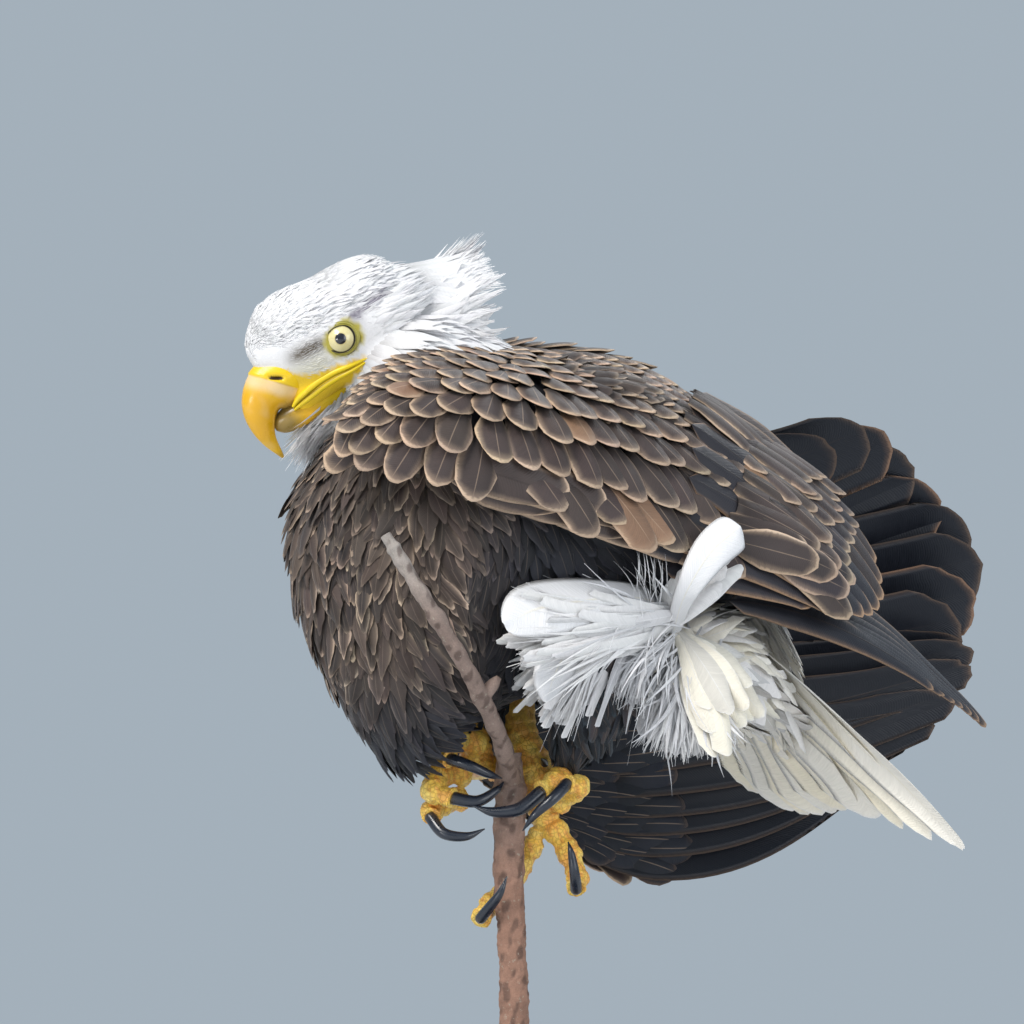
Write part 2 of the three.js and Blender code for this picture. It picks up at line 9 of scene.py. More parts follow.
import bpy
import numpy as np
from bpy.props import FloatProperty, FloatVectorProperty, PointerProperty
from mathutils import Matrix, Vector


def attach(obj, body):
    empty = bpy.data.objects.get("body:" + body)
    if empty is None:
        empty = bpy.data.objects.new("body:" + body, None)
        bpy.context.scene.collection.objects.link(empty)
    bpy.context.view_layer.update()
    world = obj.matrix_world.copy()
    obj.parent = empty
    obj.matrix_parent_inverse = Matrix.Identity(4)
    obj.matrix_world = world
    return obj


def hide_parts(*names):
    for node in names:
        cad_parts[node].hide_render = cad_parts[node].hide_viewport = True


bl_info = {
    "name": "Bald eagle looks",
    "version": (1, 0, 0),
    "blender": (4, 5, 0),
    "location": "3D View > Sidebar > Eagle",
    "description": "Skin, feathers, bill, eyes, feet and stand round the eagle's solid frame",
    "category": "Object",
}

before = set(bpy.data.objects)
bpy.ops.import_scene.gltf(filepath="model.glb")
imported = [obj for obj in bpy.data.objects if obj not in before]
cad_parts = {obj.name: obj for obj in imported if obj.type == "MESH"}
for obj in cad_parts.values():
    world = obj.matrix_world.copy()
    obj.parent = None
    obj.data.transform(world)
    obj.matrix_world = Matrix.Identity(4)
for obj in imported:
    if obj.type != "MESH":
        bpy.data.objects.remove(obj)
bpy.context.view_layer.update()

GRIP_HEIGHT = 330.0
GRIP_TURN = 65.0
HEAD_EYE = np.array([-7.0, -124.0, 293.0])
HEAD_YAW, HEAD_PITCH, HEAD_ROLL = -13.0, 33.0, 12.0
TAU = 2 * math.pi

# Side-on map: the two axes of the plane that the bird's left side is laid out in.
VIEW_TURN = math.radians(65)
VIEW_TILT = math.radians(-8)
VIEW_BACK = np.array([
    math.sin(VIEW_TURN) * math.cos(VIEW_TILT),
    -math.cos(VIEW_TURN) * math.cos(VIEW_TILT),
    math.sin(VIEW_TILT),
])
VIEW_RIGHT = np.array([math.cos(VIEW_TURN), math.sin(VIEW_TURN), 0.0])
VIEW_UP = np.cross(VIEW_BACK, VIEW_RIGHT)


# ---------------------------------------------------------------- numbers and curves

def unit(v):
    """v divided by its length."""
    return v / np.maximum(np.linalg.norm(v, axis=-1, keepdims=True), 1e-9)


def dot(a, b):
    """Scalar product over the last axis, kept as a column."""
    return np.sum(a * b, axis=-1, keepdims=True)


def smooth(low, high, x):
    """0 below low, 1 above high, 3x^2 - 2x^3 between."""
    x = np.clip((np.asarray(x, float) - low) / (high - low), 0, 1)
    return x * x * (3 - 2 * x)


def mix(a, b, share):
    """a + (b - a) * share, the share given one value to a row."""
    a, b = np.asarray(a, float), np.asarray(b, float)
    return a + (b - a) * np.asarray(share, float)[..., None]


def spline(points, t):
    """Uniform Catmull-Rom curve: station i of n is at t = i / (n - 1)."""
    p = np.asarray(points, float)
    padded = np.vstack([2 * p[0] - p[1], p, 2 * p[-1] - p[-2]])
    x = np.clip(np.asarray(t, float), 0, 1) * (len(p) - 1)
    i = np.minimum(x.astype(int), len(p) - 2)
    f = (x - i)[..., None]
    a, b, c, d = padded[i], padded[i + 1], padded[i + 2], padded[i + 3]
    return 0.5 * (2 * b + (c - a) * f + (2 * a - 5 * b + 4 * c - d) * f**2 + (3 * b - a - 3 * c + d) * f**3)


def ripple(p, wavelength, seed, waves=7):
    """Soft noise of about unit size: a sum of plane sine waves of like length in random directions."""
    rng = np.random.default_rng(seed)
    directions = unit(rng.normal(size=(waves, 3)))
    numbers = TAU / wavelength * rng.uniform(0.7, 1.4, waves)
    phases = rng.uniform(0, TAU, waves)
    return np.sin(p @ (directions * numbers[:, None]).T + phases).sum(-1) * (1.4 / math.sqrt(waves))


def turn(axis, degrees):
    """Rotation matrix about axis 0, 1 or 2."""
    c, s = math.cos(math.radians(degrees)), math.sin(math.radians(degrees))
    i, j = [(1, 2), (2, 0), (0, 1)][axis]
    m = np.eye(3)
    m[i, i] = m[j, j] = c
    m[i, j] = -s
    m[j, i] = s
    return m


HEAD_TURN = turn(2, HEAD_YAW) @ turn(0, HEAD_PITCH) @ turn(1, HEAD_ROLL)
GRIP_AXES = turn(2, GRIP_TURN)


def on_head(forward, left, up):
    """Bird axes of a point given as forward, left and up from between the eyes."""
    forward, left, up = np.broadcast_arrays(forward, left, up)
    return np.stack([left, -forward, up], -1).astype(float) @ HEAD_TURN.T + HEAD_EYE


def in_head(p):
    """Forward, left and up from between the eyes of a point in the bird's axes."""
    q = (p - HEAD_EYE) @ HEAD_TURN
    return -q[..., 1], q[..., 0], q[..., 2]


def to_metres(p):
    """Bird axes in millimetres to the shared frame in metres."""
    return (np.asarray(p, float) + np.array([0.0, 0.0, GRIP_HEIGHT])) * 0.001


def linear(red, green, blue):
    """Scene-linear colour of a screen colour given 0 to 255."""
    c = np.array([red, green, blue], float) / 255
    return np.where(c < 0.04045, c / 12.92, ((c + 0.055) / 1.055) ** 2.4)


# ---------------------------------------------------------------- bodies the skin and feathers follow

class Loft:
    """Ellipses along a smooth path.

    A point is centre(s) + across * cos(a) * (1 + keel * sin(a)) * width + upright * sin(a) * height.
    Stations are [x, y, z, half width, half height], or forward, left, up of the head. Sections stand
    square to the path, or to axis where one is given.
    """

    def __init__(self, stations, up=(0, 0, 1), axis=None, keel=0.0, kind="body", depth=0.0):
        table = np.asarray(stations, float)
        if kind == "head":
            table = np.column_stack([table[:, 1], -table[:, 0], table[:, 2:]])
        if kind == "grip":
            table = np.column_stack([table[:, :3] @ GRIP_AXES.T, table[:, 3:]])
            if table.shape[1] == 4:
                table = np.column_stack([table, table[:, 3]])
        self.kind, self.table, self.keel, self.depth = kind, table, keel, depth
        self.up = np.asarray(up, float)
        self.axis = None if axis is None else unit(np.asarray(axis, float))

    def section(self, s):
        """Centre, along, across, upright and sizes at s."""
        values = spline(self.table, s)
        centre, size = values[..., :3], np.maximum(values[..., 3:] - self.depth, 0.3)
        if self.axis is None:
            ahead = spline(self.table[:, :3], np.minimum(s + 1e-3, 1))
            along = unit(ahead - spline(self.table[:, :3], np.maximum(s - 1e-3, 0)))
        else:
            along = np.broadcast_to(self.axis, centre.shape)
        across = unit(np.cross(along, self.up))
        return centre, along, across, np.cross(across, along), size

    def __call__(self, s, a):
        s, a = np.broadcast_arrays(np.asarray(s, float), np.asarray(a, float))
        centre, _, across, upright, size = self.section(s)
        width = (np.cos(a) * (1 + self.keel * np.sin(a)) * size[..., 0])[..., None]
        p = centre + across * width + upright * (np.sin(a) * size[..., 1])[..., None]
        return p @ HEAD_TURN.T + HEAD_EYE if self.kind == "head" else p

    def outward(self, s, a, face):
        """face turned away from the path."""
        centre = self.section(np.asarray(s, float))[0]
        if self.kind == "head":
            centre = centre @ HEAD_TURN.T + HEAD_EYE
        return face * np.sign(dot(face, self(s, a) - centre))

    def holds(self, p, margin=0.0):
        """True where p lies inside the body by more than margin."""
        q = (p - HEAD_EYE) @ HEAD_TURN if self.kind == "head" else p
        s = np.linspace(0, 1, 60)
        centre, along, across, upright, size = self.section(s)
        offset = q[:, None, :] - centre[None]
        ahead = np.abs(np.sum(offset * along, -1))
        best = np.argmin(ahead + 0.25 * np.linalg.norm(offset, axis=-1), axis=1)
        row = np.arange(len(q))
        o = offset[row, best]
        x = np.sum(o * across[best], -1) / np.maximum(size[best, 0] - margin, 0.5)
        y = np.sum(o * upright[best], -1) / np.maximum(size[best, 1] - margin, 0.5)
        return (x * x + y * y < 1) & (ahead[row, best] < 4)


TRUNK_STATIONS = [
    [0, -147, 156, 6, 8], [0, -138, 154, 38, 52], [0, -110, 150, 72, 98], [0, -76, 147, 91, 130],
    [0, -38, 157, 97, 120], [0, 4, 175, 96, 114], [0, 48, 188, 88, 102], [0, 92, 195, 70, 80],
    [0, 135, 180, 50, 54], [0, 174, 154, 26, 26],
]
NECK_STATIONS = [
    [0, -16, 230, 60, 60], [-1, -42, 250, 57, 58], [-3, -66, 268, 50, 52], [-5, -88, 282, 43, 46],
    [-7, -104, 290, 34, 38],
]
SKULL_STATIONS = [
    [-60, 0, -3, 14, 18], [-48, 0, -1, 28, 32], [-28, 0, -2, 33, 38], [-4, 0, -2, 31.5, 38],
    [20, 0, 0, 28, 38], [38, 0, 1, 23, 33], [51, 0, -1, 16, 23], [57, 0, -5, 9, 14],
]
THIGH_LEFT_STATIONS = [
    [52, 8, 128, 36, 40], [50, 26, 98, 36, 40], [42, 34, 66, 30, 33], [30, 32, 40, 20, 22],
    [22, 29, 26, 12, 13],
]
THIGH_RIGHT_STATIONS = [
    [-52, -6, 128, 36, 40], [-48, 2, 104, 36, 40], [-40, 2, 78, 30, 32], [-31, -6, 58, 20, 22],
    [-26, -11, 46, 13, 14],
]
UPPER_ARM_STATIONS = [
    [-62, -88, 216, 18, 24], [-66, -50, 228, 30, 42], [-78, 30, 234, 28, 46], [-102, 104, 220, 18, 36],
]
COVERT_STATIONS = [
    [14, 70, 104, 26, 20], [14, 96, 102, 46, 32], [10, 126, 96, 54, 34], [4, 156, 82, 52, 26],
    [2, 184, 62, 40, 10],
]


def trunk(depth=0.0):
    """The egg of the trunk, its sections upright."""
    return Loft(TRUNK_STATIONS, axis=(0, 1, 0), keel=0.22, depth=depth)


def neck(depth=0.0):
    """The neck, from the shoulders to the back of the head."""
    return Loft(NECK_STATIONS, axis=(0, -0.84, 0.54), depth=depth)


def skull(depth=0.0):
    """The head without its bill."""
    return Loft(SKULL_STATIONS, axis=(0, -1, 0), kind="head", depth=depth)


def thigh(side, depth=0.0):
    """A thigh, from the flank down to the ankle."""
    return Loft(THIGH_LEFT_STATIONS if side > 0 else THIGH_RIGHT_STATIONS, up=(0, 1, 0), depth=depth)


def upper_arm(depth=0.0):
    """The right upper arm, under its scapular feathers."""
    return Loft(UPPER_ARM_STATIONS, depth=depth)


def tail_coverts(depth=0.0):
    """The ruffled mass of coverts round the root of the tail."""
    return Loft(COVERT_STATIONS, axis=(0, 0.8, -0.6), depth=depth)


WING_TOP = [(48, -143, 234), (42, -108, 268), (24, -52, 289), (8, 20, 297), (2, 92, 292), (6, 164, 250)]
WING_FOOT = [(64, -156, 195), (96, -116, 176), (113, -62, 160), (114, 0, 142), (104, 66, 128), (90, 124, 138)]


def left_arm(w, b):
    """Outer side of the folded left wing: straight from upper to lower edge, bulged by a half sine."""
    w, b = np.broadcast_arrays(np.asarray(w, float), np.asarray(b, float))
    bulge = 30 * np.sin(math.pi * (0.25 + 0.6 * w)) + 12
    straight = mix(spline(WING_TOP, w), spline(WING_FOOT, w), b)
    return straight + np.array([0.9, 0, 0.45]) * (bulge * np.sin(math.pi * b))[..., None]


ELBOW_R, WRIST_R, HAND_R = (-112, 116, 216), (-160, 6, 64), (-166, 104, -4)
FORE_ARM = [ELBOW_R, (-140, 52, 140), WRIST_R]
HAND = [WRIST_R, (-172, 52, 34), HAND_R]
SECONDARY_TIP_R = [
    (-96, 278, 250), (-118, 332, 275), (-135, 368, 266), (-150, 408, 236), (-155, 443, 206), (-150, 436, 168),
    (-142, 412, 138),
]
PRIMARY_TIP_R = [(-142, 412, 138), (-132, 424, 124), (-142, 404, 86), (-155, 372, 66), (-168, 338, 32)]


def bowed(root, tip, bow, t):
    """A line from root to tip, its middle pushed out: root + (tip - root) * t + bow * 4t(1 - t)."""
    return mix(root, tip, t) + bow * (4 * t * (1 - t))[..., None]


def right_secondary_sheet(s, t):
    """The half-open right wing from the elbow, s = 0, to the wrist, along its feathers from t = 0."""
    s, t = np.broadcast_arrays(np.asarray(s, float), np.asarray(t, float))
    bow = np.array([-34.0, 6, -8]) * (0.7 + 0.3 * s)[..., None]
    return bowed(spline(FORE_ARM, s), spline(SECONDARY_TIP_R, s), bow, t)


def right_primary_sheet(s, t):
    """The hand of the right wing from the wrist, s = 0, to its end, along its feathers from t = 0."""
    s, t = np.broadcast_arrays(np.asarray(s, float), np.asarray(t, float))
    bow = np.stack([-34 + 18 * s, 6 + 0 * s, -8 - 34 * s], -1)
    return bowed(spline(HAND, s), spline(PRIMARY_TIP_R, s), bow, t)


def frame_at(shape, s, a, side=1.0):
    """Point, unit step along s, unit step along a and outward face of a surface, from small differences."""
    e = 1e-3
    ds = shape(np.minimum(s + e, 1), a) - shape(np.maximum(s - e, 0), a)
    da = shape(s, a + e) - shape(s, a - e)
    face = unit(np.cross(ds, da)) * side
    if isinstance(shape, Loft):
        face = shape.outward(s, a, face)
    return shape(s, a), unit(ds), unit(da), face


def scatter(shape, rng, pitch, along=(0.0, 1.0), across=(0.0, TAU), wander=0.25):
    """Roots in staggered rows over a surface, as arrays s and a.

    pitch is a table by s: places, steps from row to row and steps from root to root in a row, in millimetres.
    """
    places, row_gaps, root_gaps = pitch
    probe = np.linspace(*along, 300)
    sides = np.linspace(*across, 25)
    steps = np.linalg.norm(np.diff(shape(probe[:, None], sides[None]), axis=0), axis=-1).mean(1)
    row_gap, root_gap = np.interp(probe, places, row_gaps), np.interp(probe, places, root_gaps)
    run = np.concatenate([[0], np.cumsum(steps / ((row_gap[1:] + row_gap[:-1]) / 2))])
    rows = np.interp(np.arange(0.5, run[-1]), run, probe)
    found = []
    ring = np.linspace(*across, 140)
    for k, s in enumerate(rows):
        length = np.concatenate([[0], np.cumsum(np.linalg.norm(np.diff(shape(s, ring), axis=0), axis=-1))])
        count = max(1, int(length[-1] / np.interp(s, probe, root_gap)))
        places = (np.arange(count) + 0.25 + 0.5 * (k % 2) + rng.uniform(-wander, wander, count)) / count
        drift = rng.uniform(-wander, wander, count) * (rows[1] - rows[0] if len(rows) > 1 else 0)
        a = np.interp(np.clip(places, 0, 1) * length[-1], length, ring)
        found.append(np.column_stack([np.clip(s + drift, along[0], along[1]), a]))
    found = np.vstack(found)
    return found[:, 0], found[:, 1]


def rooted(shape, rng, pitch, bars=(), outside=None, **spread):
    """Roots over a surface but not inside the bodies in bars: s, a, point, step along s and outward face.

    outside, where given, is a direction that every face is turned to.
    """
    s, a = scatter(shape, rng, pitch, **spread)
    p, ds, _, face = frame_at(shape, s, a)
    if outside is not None:
        face = face * np.sign(dot(face, np.asarray(outside, float)[None]))
    keep = np.ones(len(p), bool)
    for body in bars:
        keep &= ~body.holds(p)
    return s[keep], a[keep], p[keep], ds[keep], face[keep]


# ---------------------------------------------------------------- meshes

NO_TRIS = np.zeros((0, 3), int)


def grid_quads(rows, columns, closed=False):
    """Corners of the squares of a grid of points, row by row; closed joins the last column to the first."""
    j = np.arange(rows - 1)[:, None]
    i = np.arange(columns if closed else columns - 1)[None]
    k = (i + 1) % columns
    quads = np.stack([j * columns + i, j * columns + k, (j + 1) * columns + k, (j + 1) * columns + i], -1)
    return quads.reshape(-1, 4)


def new_mesh(name, shell, uvs=None, colours=None, vectors=None):
    """A mesh object from points in bird millimetres, quads and triangles, with its maps by name."""
    points, quads, tris = shell
    mesh = bpy.data.meshes.new(name)
    loops = np.concatenate([quads.ravel(), tris.ravel()])
    starts = np.concatenate([np.arange(len(quads)) * 4, quads.size + np.arange(len(tris)) * 3])
    mesh.vertices.add(len(points))
    mesh.vertices.foreach_set("co", to_metres(points).astype(np.float32).ravel())
    mesh.loops.add(len(loops))
    mesh.loops.foreach_set("vertex_index", loops.astype(np.int32))
    mesh.polygons.add(len(starts))
    mesh.polygons.foreach_set("loop_start", starts.astype(np.int32))
    for key, uv in (uvs or {}).items():
        mesh.uv_layers.new(name=key).uv.foreach_set("vector", uv[loops].astype(np.float32).ravel())
    for kind, field, values in (("FLOAT_COLOR", "color", colours), ("FLOAT_VECTOR", "vector", vectors)):
        for key, value in (values or {}).items():
            attribute = mesh.attributes.new(key, kind, "POINT")
            attribute.data.foreach_set(field, value.astype(np.float32).ravel())
    mesh.update(calc_edges=True)
    mesh.validate()
    mesh.shade_smooth()
    return link(bpy.data.objects.new(name, mesh))


def link(obj):
    """Puts an object in the scene."""
    bpy.context.scene.collection.objects.link(obj)
    return obj


def finish_piece(obj, material, slot, *nodes):
    """Gives a piece its material, its record slot, its ride and the solids that it stands for."""
    obj.data.materials.clear()
    obj.data.materials.append(material)
    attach(obj, "root")
    if nodes:
        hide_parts(*nodes)
    return obj


def painted(name, shell, colour, material, slot, *nodes):
    """A piece made of one shell, with a colour at each point."""
    obj = new_mesh(name, shell, colours={"Marking": rgba(colour)})
    return finish_piece(obj, material, slot, *nodes)


def oriented(points, quads, tris=NO_TRIS):
    """A closed shell with its faces turned to look out, as its signed volume tells."""
    faces = np.vstack([quads[:, :3], quads[:, [0, 2, 3]], tris])
    a, b, c = points[faces[:, 0]], points[faces[:, 1]], points[faces[:, 2]]
    if np.sum(a * np.cross(b, c)) < 0:
        quads, tris = quads[:, ::-1], tris[:, ::-1]
    return points, quads, tris


def capped(p, first, last):
    """A closed shell from rings of points (ring, point, 3), its ends closed by fans to two more points."""
    rings, sides = p.shape[:2]
    points = np.vstack([p.reshape(-1, 3), first, last])
    j = np.arange(sides)
    k = (j + 1) % sides
    end = (rings - 1) * sides
    tris = np.vstack([np.column_stack([np.full(sides, len(points) - 2), k, j]),
                      np.column_stack([np.full(sides, len(points) - 1), end + j, end + k])])
    return oriented(points, grid_quads(rings, sides, closed=True), tris)


def tube(shape, rows, sides, edit=None):
    """Closed shell of a loft: a ring of points at each of `rows` steps; edit(points, s, a) may move them."""
    s, a = np.linspace(0, 1, rows)[:, None], np.linspace(0, TAU, sides, endpoint=False)[None]
    s, a = np.broadcast_arrays(s, a)
    p = shape(s, a)
    if edit is not None:
        p = edit(p, s, a)
    return capped(p, p[0].mean(0), p[-1].mean(0))


# ---------------------------------------------------------------- feathers

PATCH = 0.003  # side of one feather's patch in the baked map


def toward_tip(rows, power=1.25):
    """Places along a feather from 0 to 1, closer together towards its tip."""
    return 1 - (1 - np.linspace(0, 1, rows)) ** power


def blades(root, along, face, length, width, rng, rows=5, columns=5, lift=(10, -2), camber=0.12, sway=0.0,
           neck_width=0.45, broad=0.5, tip=0.7, arc=0.35, twist=0.0, fray=0.0, free=False):
    """Feathers as bent blades, as an array (feather, row, column, 3).

    Along a blade, v runs from 0 to 1 and u from -1 to 1 across it. Its shaft leaves the skin at lift[0]
    degrees and ends at lift[1]; its half width grows from neck_width to 1 at v = broad and shrinks to tip
    at v = 1; its tip is an arc, drawn back by arc * width * |u|^2.2; its edges drop by camber * width * u^2
    and it bends sideways by sway * length * v^2. fray pulls the ends of the columns in and out at random.
    Unless free, a blade's direction is first laid into the skin, square to its face.
    """
    count = len(root)
    each = lambda value: np.broadcast_to(np.asarray(value, float), (count,))[:, None, None]
    length, width, first, last = each(length), each(width), each(lift[0])[:, 0], each(lift[1])[:, 0]
    v, u = toward_tip(rows), np.linspace(-1, 1, columns)
    bend = np.radians(first + (last - first) * v[None])
    middle = (bend[:, 1:] + bend[:, :-1]) / 2
    total = lambda slope: np.pad(np.cumsum(slope * np.diff(v)[None], 1), ((0, 0), (1, 0)))[..., None]
    ahead, rise = total(np.cos(middle)), total(np.sin(middle))
    shrink = 1 - (1 - tip) * smooth(broad, 1, v) ** 1.6
    profile = ((neck_width + (1 - neck_width) * smooth(0, broad, v)) * shrink)[None, :, None]
    x = length * ahead - arc * width * (np.abs(u) ** 2.2)[None, None] * (v**2)[None, :, None]
    if fray:
        x = x + fray * length * rng.normal(size=(count, 1, columns)) * (v**3)[None, :, None]
    half = width / 2 * profile
    y = half * u[None, None] + each(sway) * length * (v**2)[None, :, None]
    z = length * rise - camber * width * profile * (u**2)[None, None]
    z = z + half * u[None, None] * np.sin(each(twist) * v[None, :, None])
    along = unit(along)
    if not free:
        along = unit(along - face * dot(along, face))
    face = unit(face - along * dot(face, along))
    x, y, z = (value[..., None] * axis[:, None, None] for value, axis in (
        (x, along), (y, np.cross(along, face)), (z, face)))
    return root[:, None, None] + x + y + z


def lot(rng, root, heading, face, length, width, colour, edge=None, strength=1.0, at=None,
        window=(0, 0, 1, 1), **form):
    """One lot of blades, with its maps and with its colours and sizes at each point.

    strength is that of the rim's colour, or the least and most of a random one. `at` is each feather's
    place in the window of the bake map that the lot has.
    """
    points = blades(root, heading, face, length, width, rng, **form)
    count, rows, columns, _ = points.shape
    if isinstance(strength, tuple):
        strength = rng.uniform(*strength, count)
    low, high = np.asarray(window[:2], float), np.asarray(window[2:], float)
    at = (low + np.clip(at, 0, 1) * (high - low))[:, None, None]
    one_each = lambda value: np.broadcast_to(np.asarray(value, float), (count,))
    size = np.column_stack([one_each(width) / 2, one_each(length), rng.uniform(0, 1, count)])
    local = np.stack(np.meshgrid(np.linspace(0, 1, columns), toward_tip(rows)), -1)
    quads = grid_quads(rows, columns)[None] + np.arange(count)[:, None, None] * (rows * columns)
    edge = np.broadcast_to(colour if edge is None else edge, (count, 3))
    repeat = lambda value: np.repeat(value, rows * columns, axis=0)
    return {
        "points": points.reshape(-1, 3), "quads": quads.reshape(-1, 4),
        "vane": np.broadcast_to(local, (count, *local.shape)).reshape(-1, 2),
        "bake": (at * (1 - PATCH) + local[None] * PATCH).reshape(-1, 2),
        "mark": repeat(rgba(colour)), "edge": repeat(rgba(edge, strength)), "size": repeat(size),
    }


def coat(name, parts, material, slot, *nodes, thick=0.0):
    """Joins lots or vanes into one piece, with maps Vane (across, along) and OFBake (a patch a feather)."""
    every = lambda key: np.vstack([part[key] for part in parts])
    starts = np.cumsum([0] + [len(part["points"]) for part in parts])
    quads = np.vstack([part["quads"] + start for part, start in zip(parts, starts)])
    obj = new_mesh(
        name, (every("points"), quads, NO_TRIS),
        uvs={"OFBake": every("bake"), "Vane": every("vane")},
        colours={"Marking": every("mark"), "Edging": every("edge")},
        vectors={"Size": every("size")},
    )
    if thick:
        solid = obj.modifiers.new("Vane thickness", "SOLIDIFY")
        solid.thickness = thick * 0.001
        solid.offset = 0
    return finish_piece(obj, material, slot, *nodes)


def rgba(colour, strength=1.0):
    """A colour with a strength as its fourth value, for one feather or many."""
    colour = np.asarray(colour, float)
    strength = np.broadcast_to(np.asarray(strength, float), colour.shape[:-1])
    return np.concatenate([colour, strength[..., None]], -1)


def closed_vane(top, face, above, below, u, v, mark, edge, size, strip=(0, 1), margin=0.02):
    """A vane with two sides, `above` and `below` a middle sheet, that meet along its edges.

    On the bake map it takes strip number strip[0] of strip[1], with its two sides next to each other.
    """
    upper = top + face[:, None] * above[..., None]
    lower = top - face[:, None] * below[..., None]
    ring = np.concatenate([upper, lower[:, -2:0:-1]], axis=1)
    ring[0] = ring[0].mean(0)
    grid_u, grid_v = np.meshgrid((np.concatenate([u, u[-2:0:-1]]) + 1) / 2, v)
    lower_side = np.concatenate([np.zeros(len(u)), np.ones(len(u) - 2)])[None]
    across = (strip[0] + margin + (0.5 - 2 * margin) * grid_u + 0.5 * lower_side) / strip[1]
    each = (grid_u.size, 1)
    return {
        "points": ring.reshape(-1, 3), "quads": grid_quads(*grid_u.shape, closed=True),
        "vane": np.stack([grid_u, grid_v], -1).reshape(-1, 2),
        "bake": np.stack([across, 0.01 + 0.98 * grid_v], -1).reshape(-1, 2),
        "mark": np.tile(mark, each), "edge": np.tile(edge, each), "size": np.tile(size, each),
    }


QUILL = {"thick": 1.1, "ridge": 1.3, "wave": 0.02, "camber": 0.10}


def quills(name, feathers, material, slot, *nodes, rows=26, columns=11, **common):
    """Large feathers as closed vanes with a raised shaft.

    Each feather has root, tip, bow, face, width, shape (neck, broad, tip, arc), shaft (place across, -1
    to 1), curl, thickness and colours, of its own or in common. Its upper side is
    root + (tip - root) v + bow 4v(1 - v), widened across.
    """
    parts = []
    v, u = toward_tip(rows, 1.35), np.linspace(-1, 1, columns)
    column = v[:, None]
    for number, own in enumerate(feathers):
        f = {**QUILL, **common, **own}
        root, tip, bow, face = (np.asarray(f[key], float) for key in ("root", "tip", "bow", "face"))
        line = bowed(root[None], tip[None], bow[None], v)
        along = unit(np.gradient(line, axis=0))
        face = unit(face[None] - along * dot(face[None], along))
        side = np.cross(along, face)
        length = np.linalg.norm(tip - root)
        neck_width, broad, tip_width, arc = f["shape"]
        grow = neck_width + (1 - neck_width) * smooth(0, broad, v)
        profile = (grow * (1 - (1 - tip_width) * smooth(broad, 1, v) ** 2))[:, None]
        width = f["width"]
        lean = u[None] - f["shaft"]
        drawn = arc * width * np.abs(lean) ** 2.3 * column**3
        rng = np.random.default_rng(f["seed"])
        nick = 0.003 * length * rng.normal(size=(1, columns)) * column**5
        across = width / 2 * profile * lean
        wave = f["wave"] * width * np.sin(column * 9 + u[None] * 2 + number) * np.abs(lean)
        drop = -f["camber"] * width * profile * lean**2 + wave
        drop = drop + f["curl"] * width * (u[None] * column**2)
        top = (line[:, None] + side[:, None] * across[..., None] + face[:, None] * drop[..., None]
               - along[:, None] * (drawn + nick)[..., None])
        thickness = f["thick"] * (1 - 0.6 * column) * (1 - np.abs(u[None]) ** 4) * (1 - column**8)
        ridge = f["ridge"] * np.exp(-((lean / 0.07) ** 2)) * (1 - column) ** 0.7
        parts.append(closed_vane(
            top, face, thickness / 2 + ridge * 0.5, thickness / 2 + ridge, u, v, f["mark"], f["edge"],
            [width / 2, length, rng.uniform()], (number, len(feathers)), 0.03,
        ))
    return coat(name, parts, material, slot, *nodes)


# ---------------------------------------------------------------- shader parts

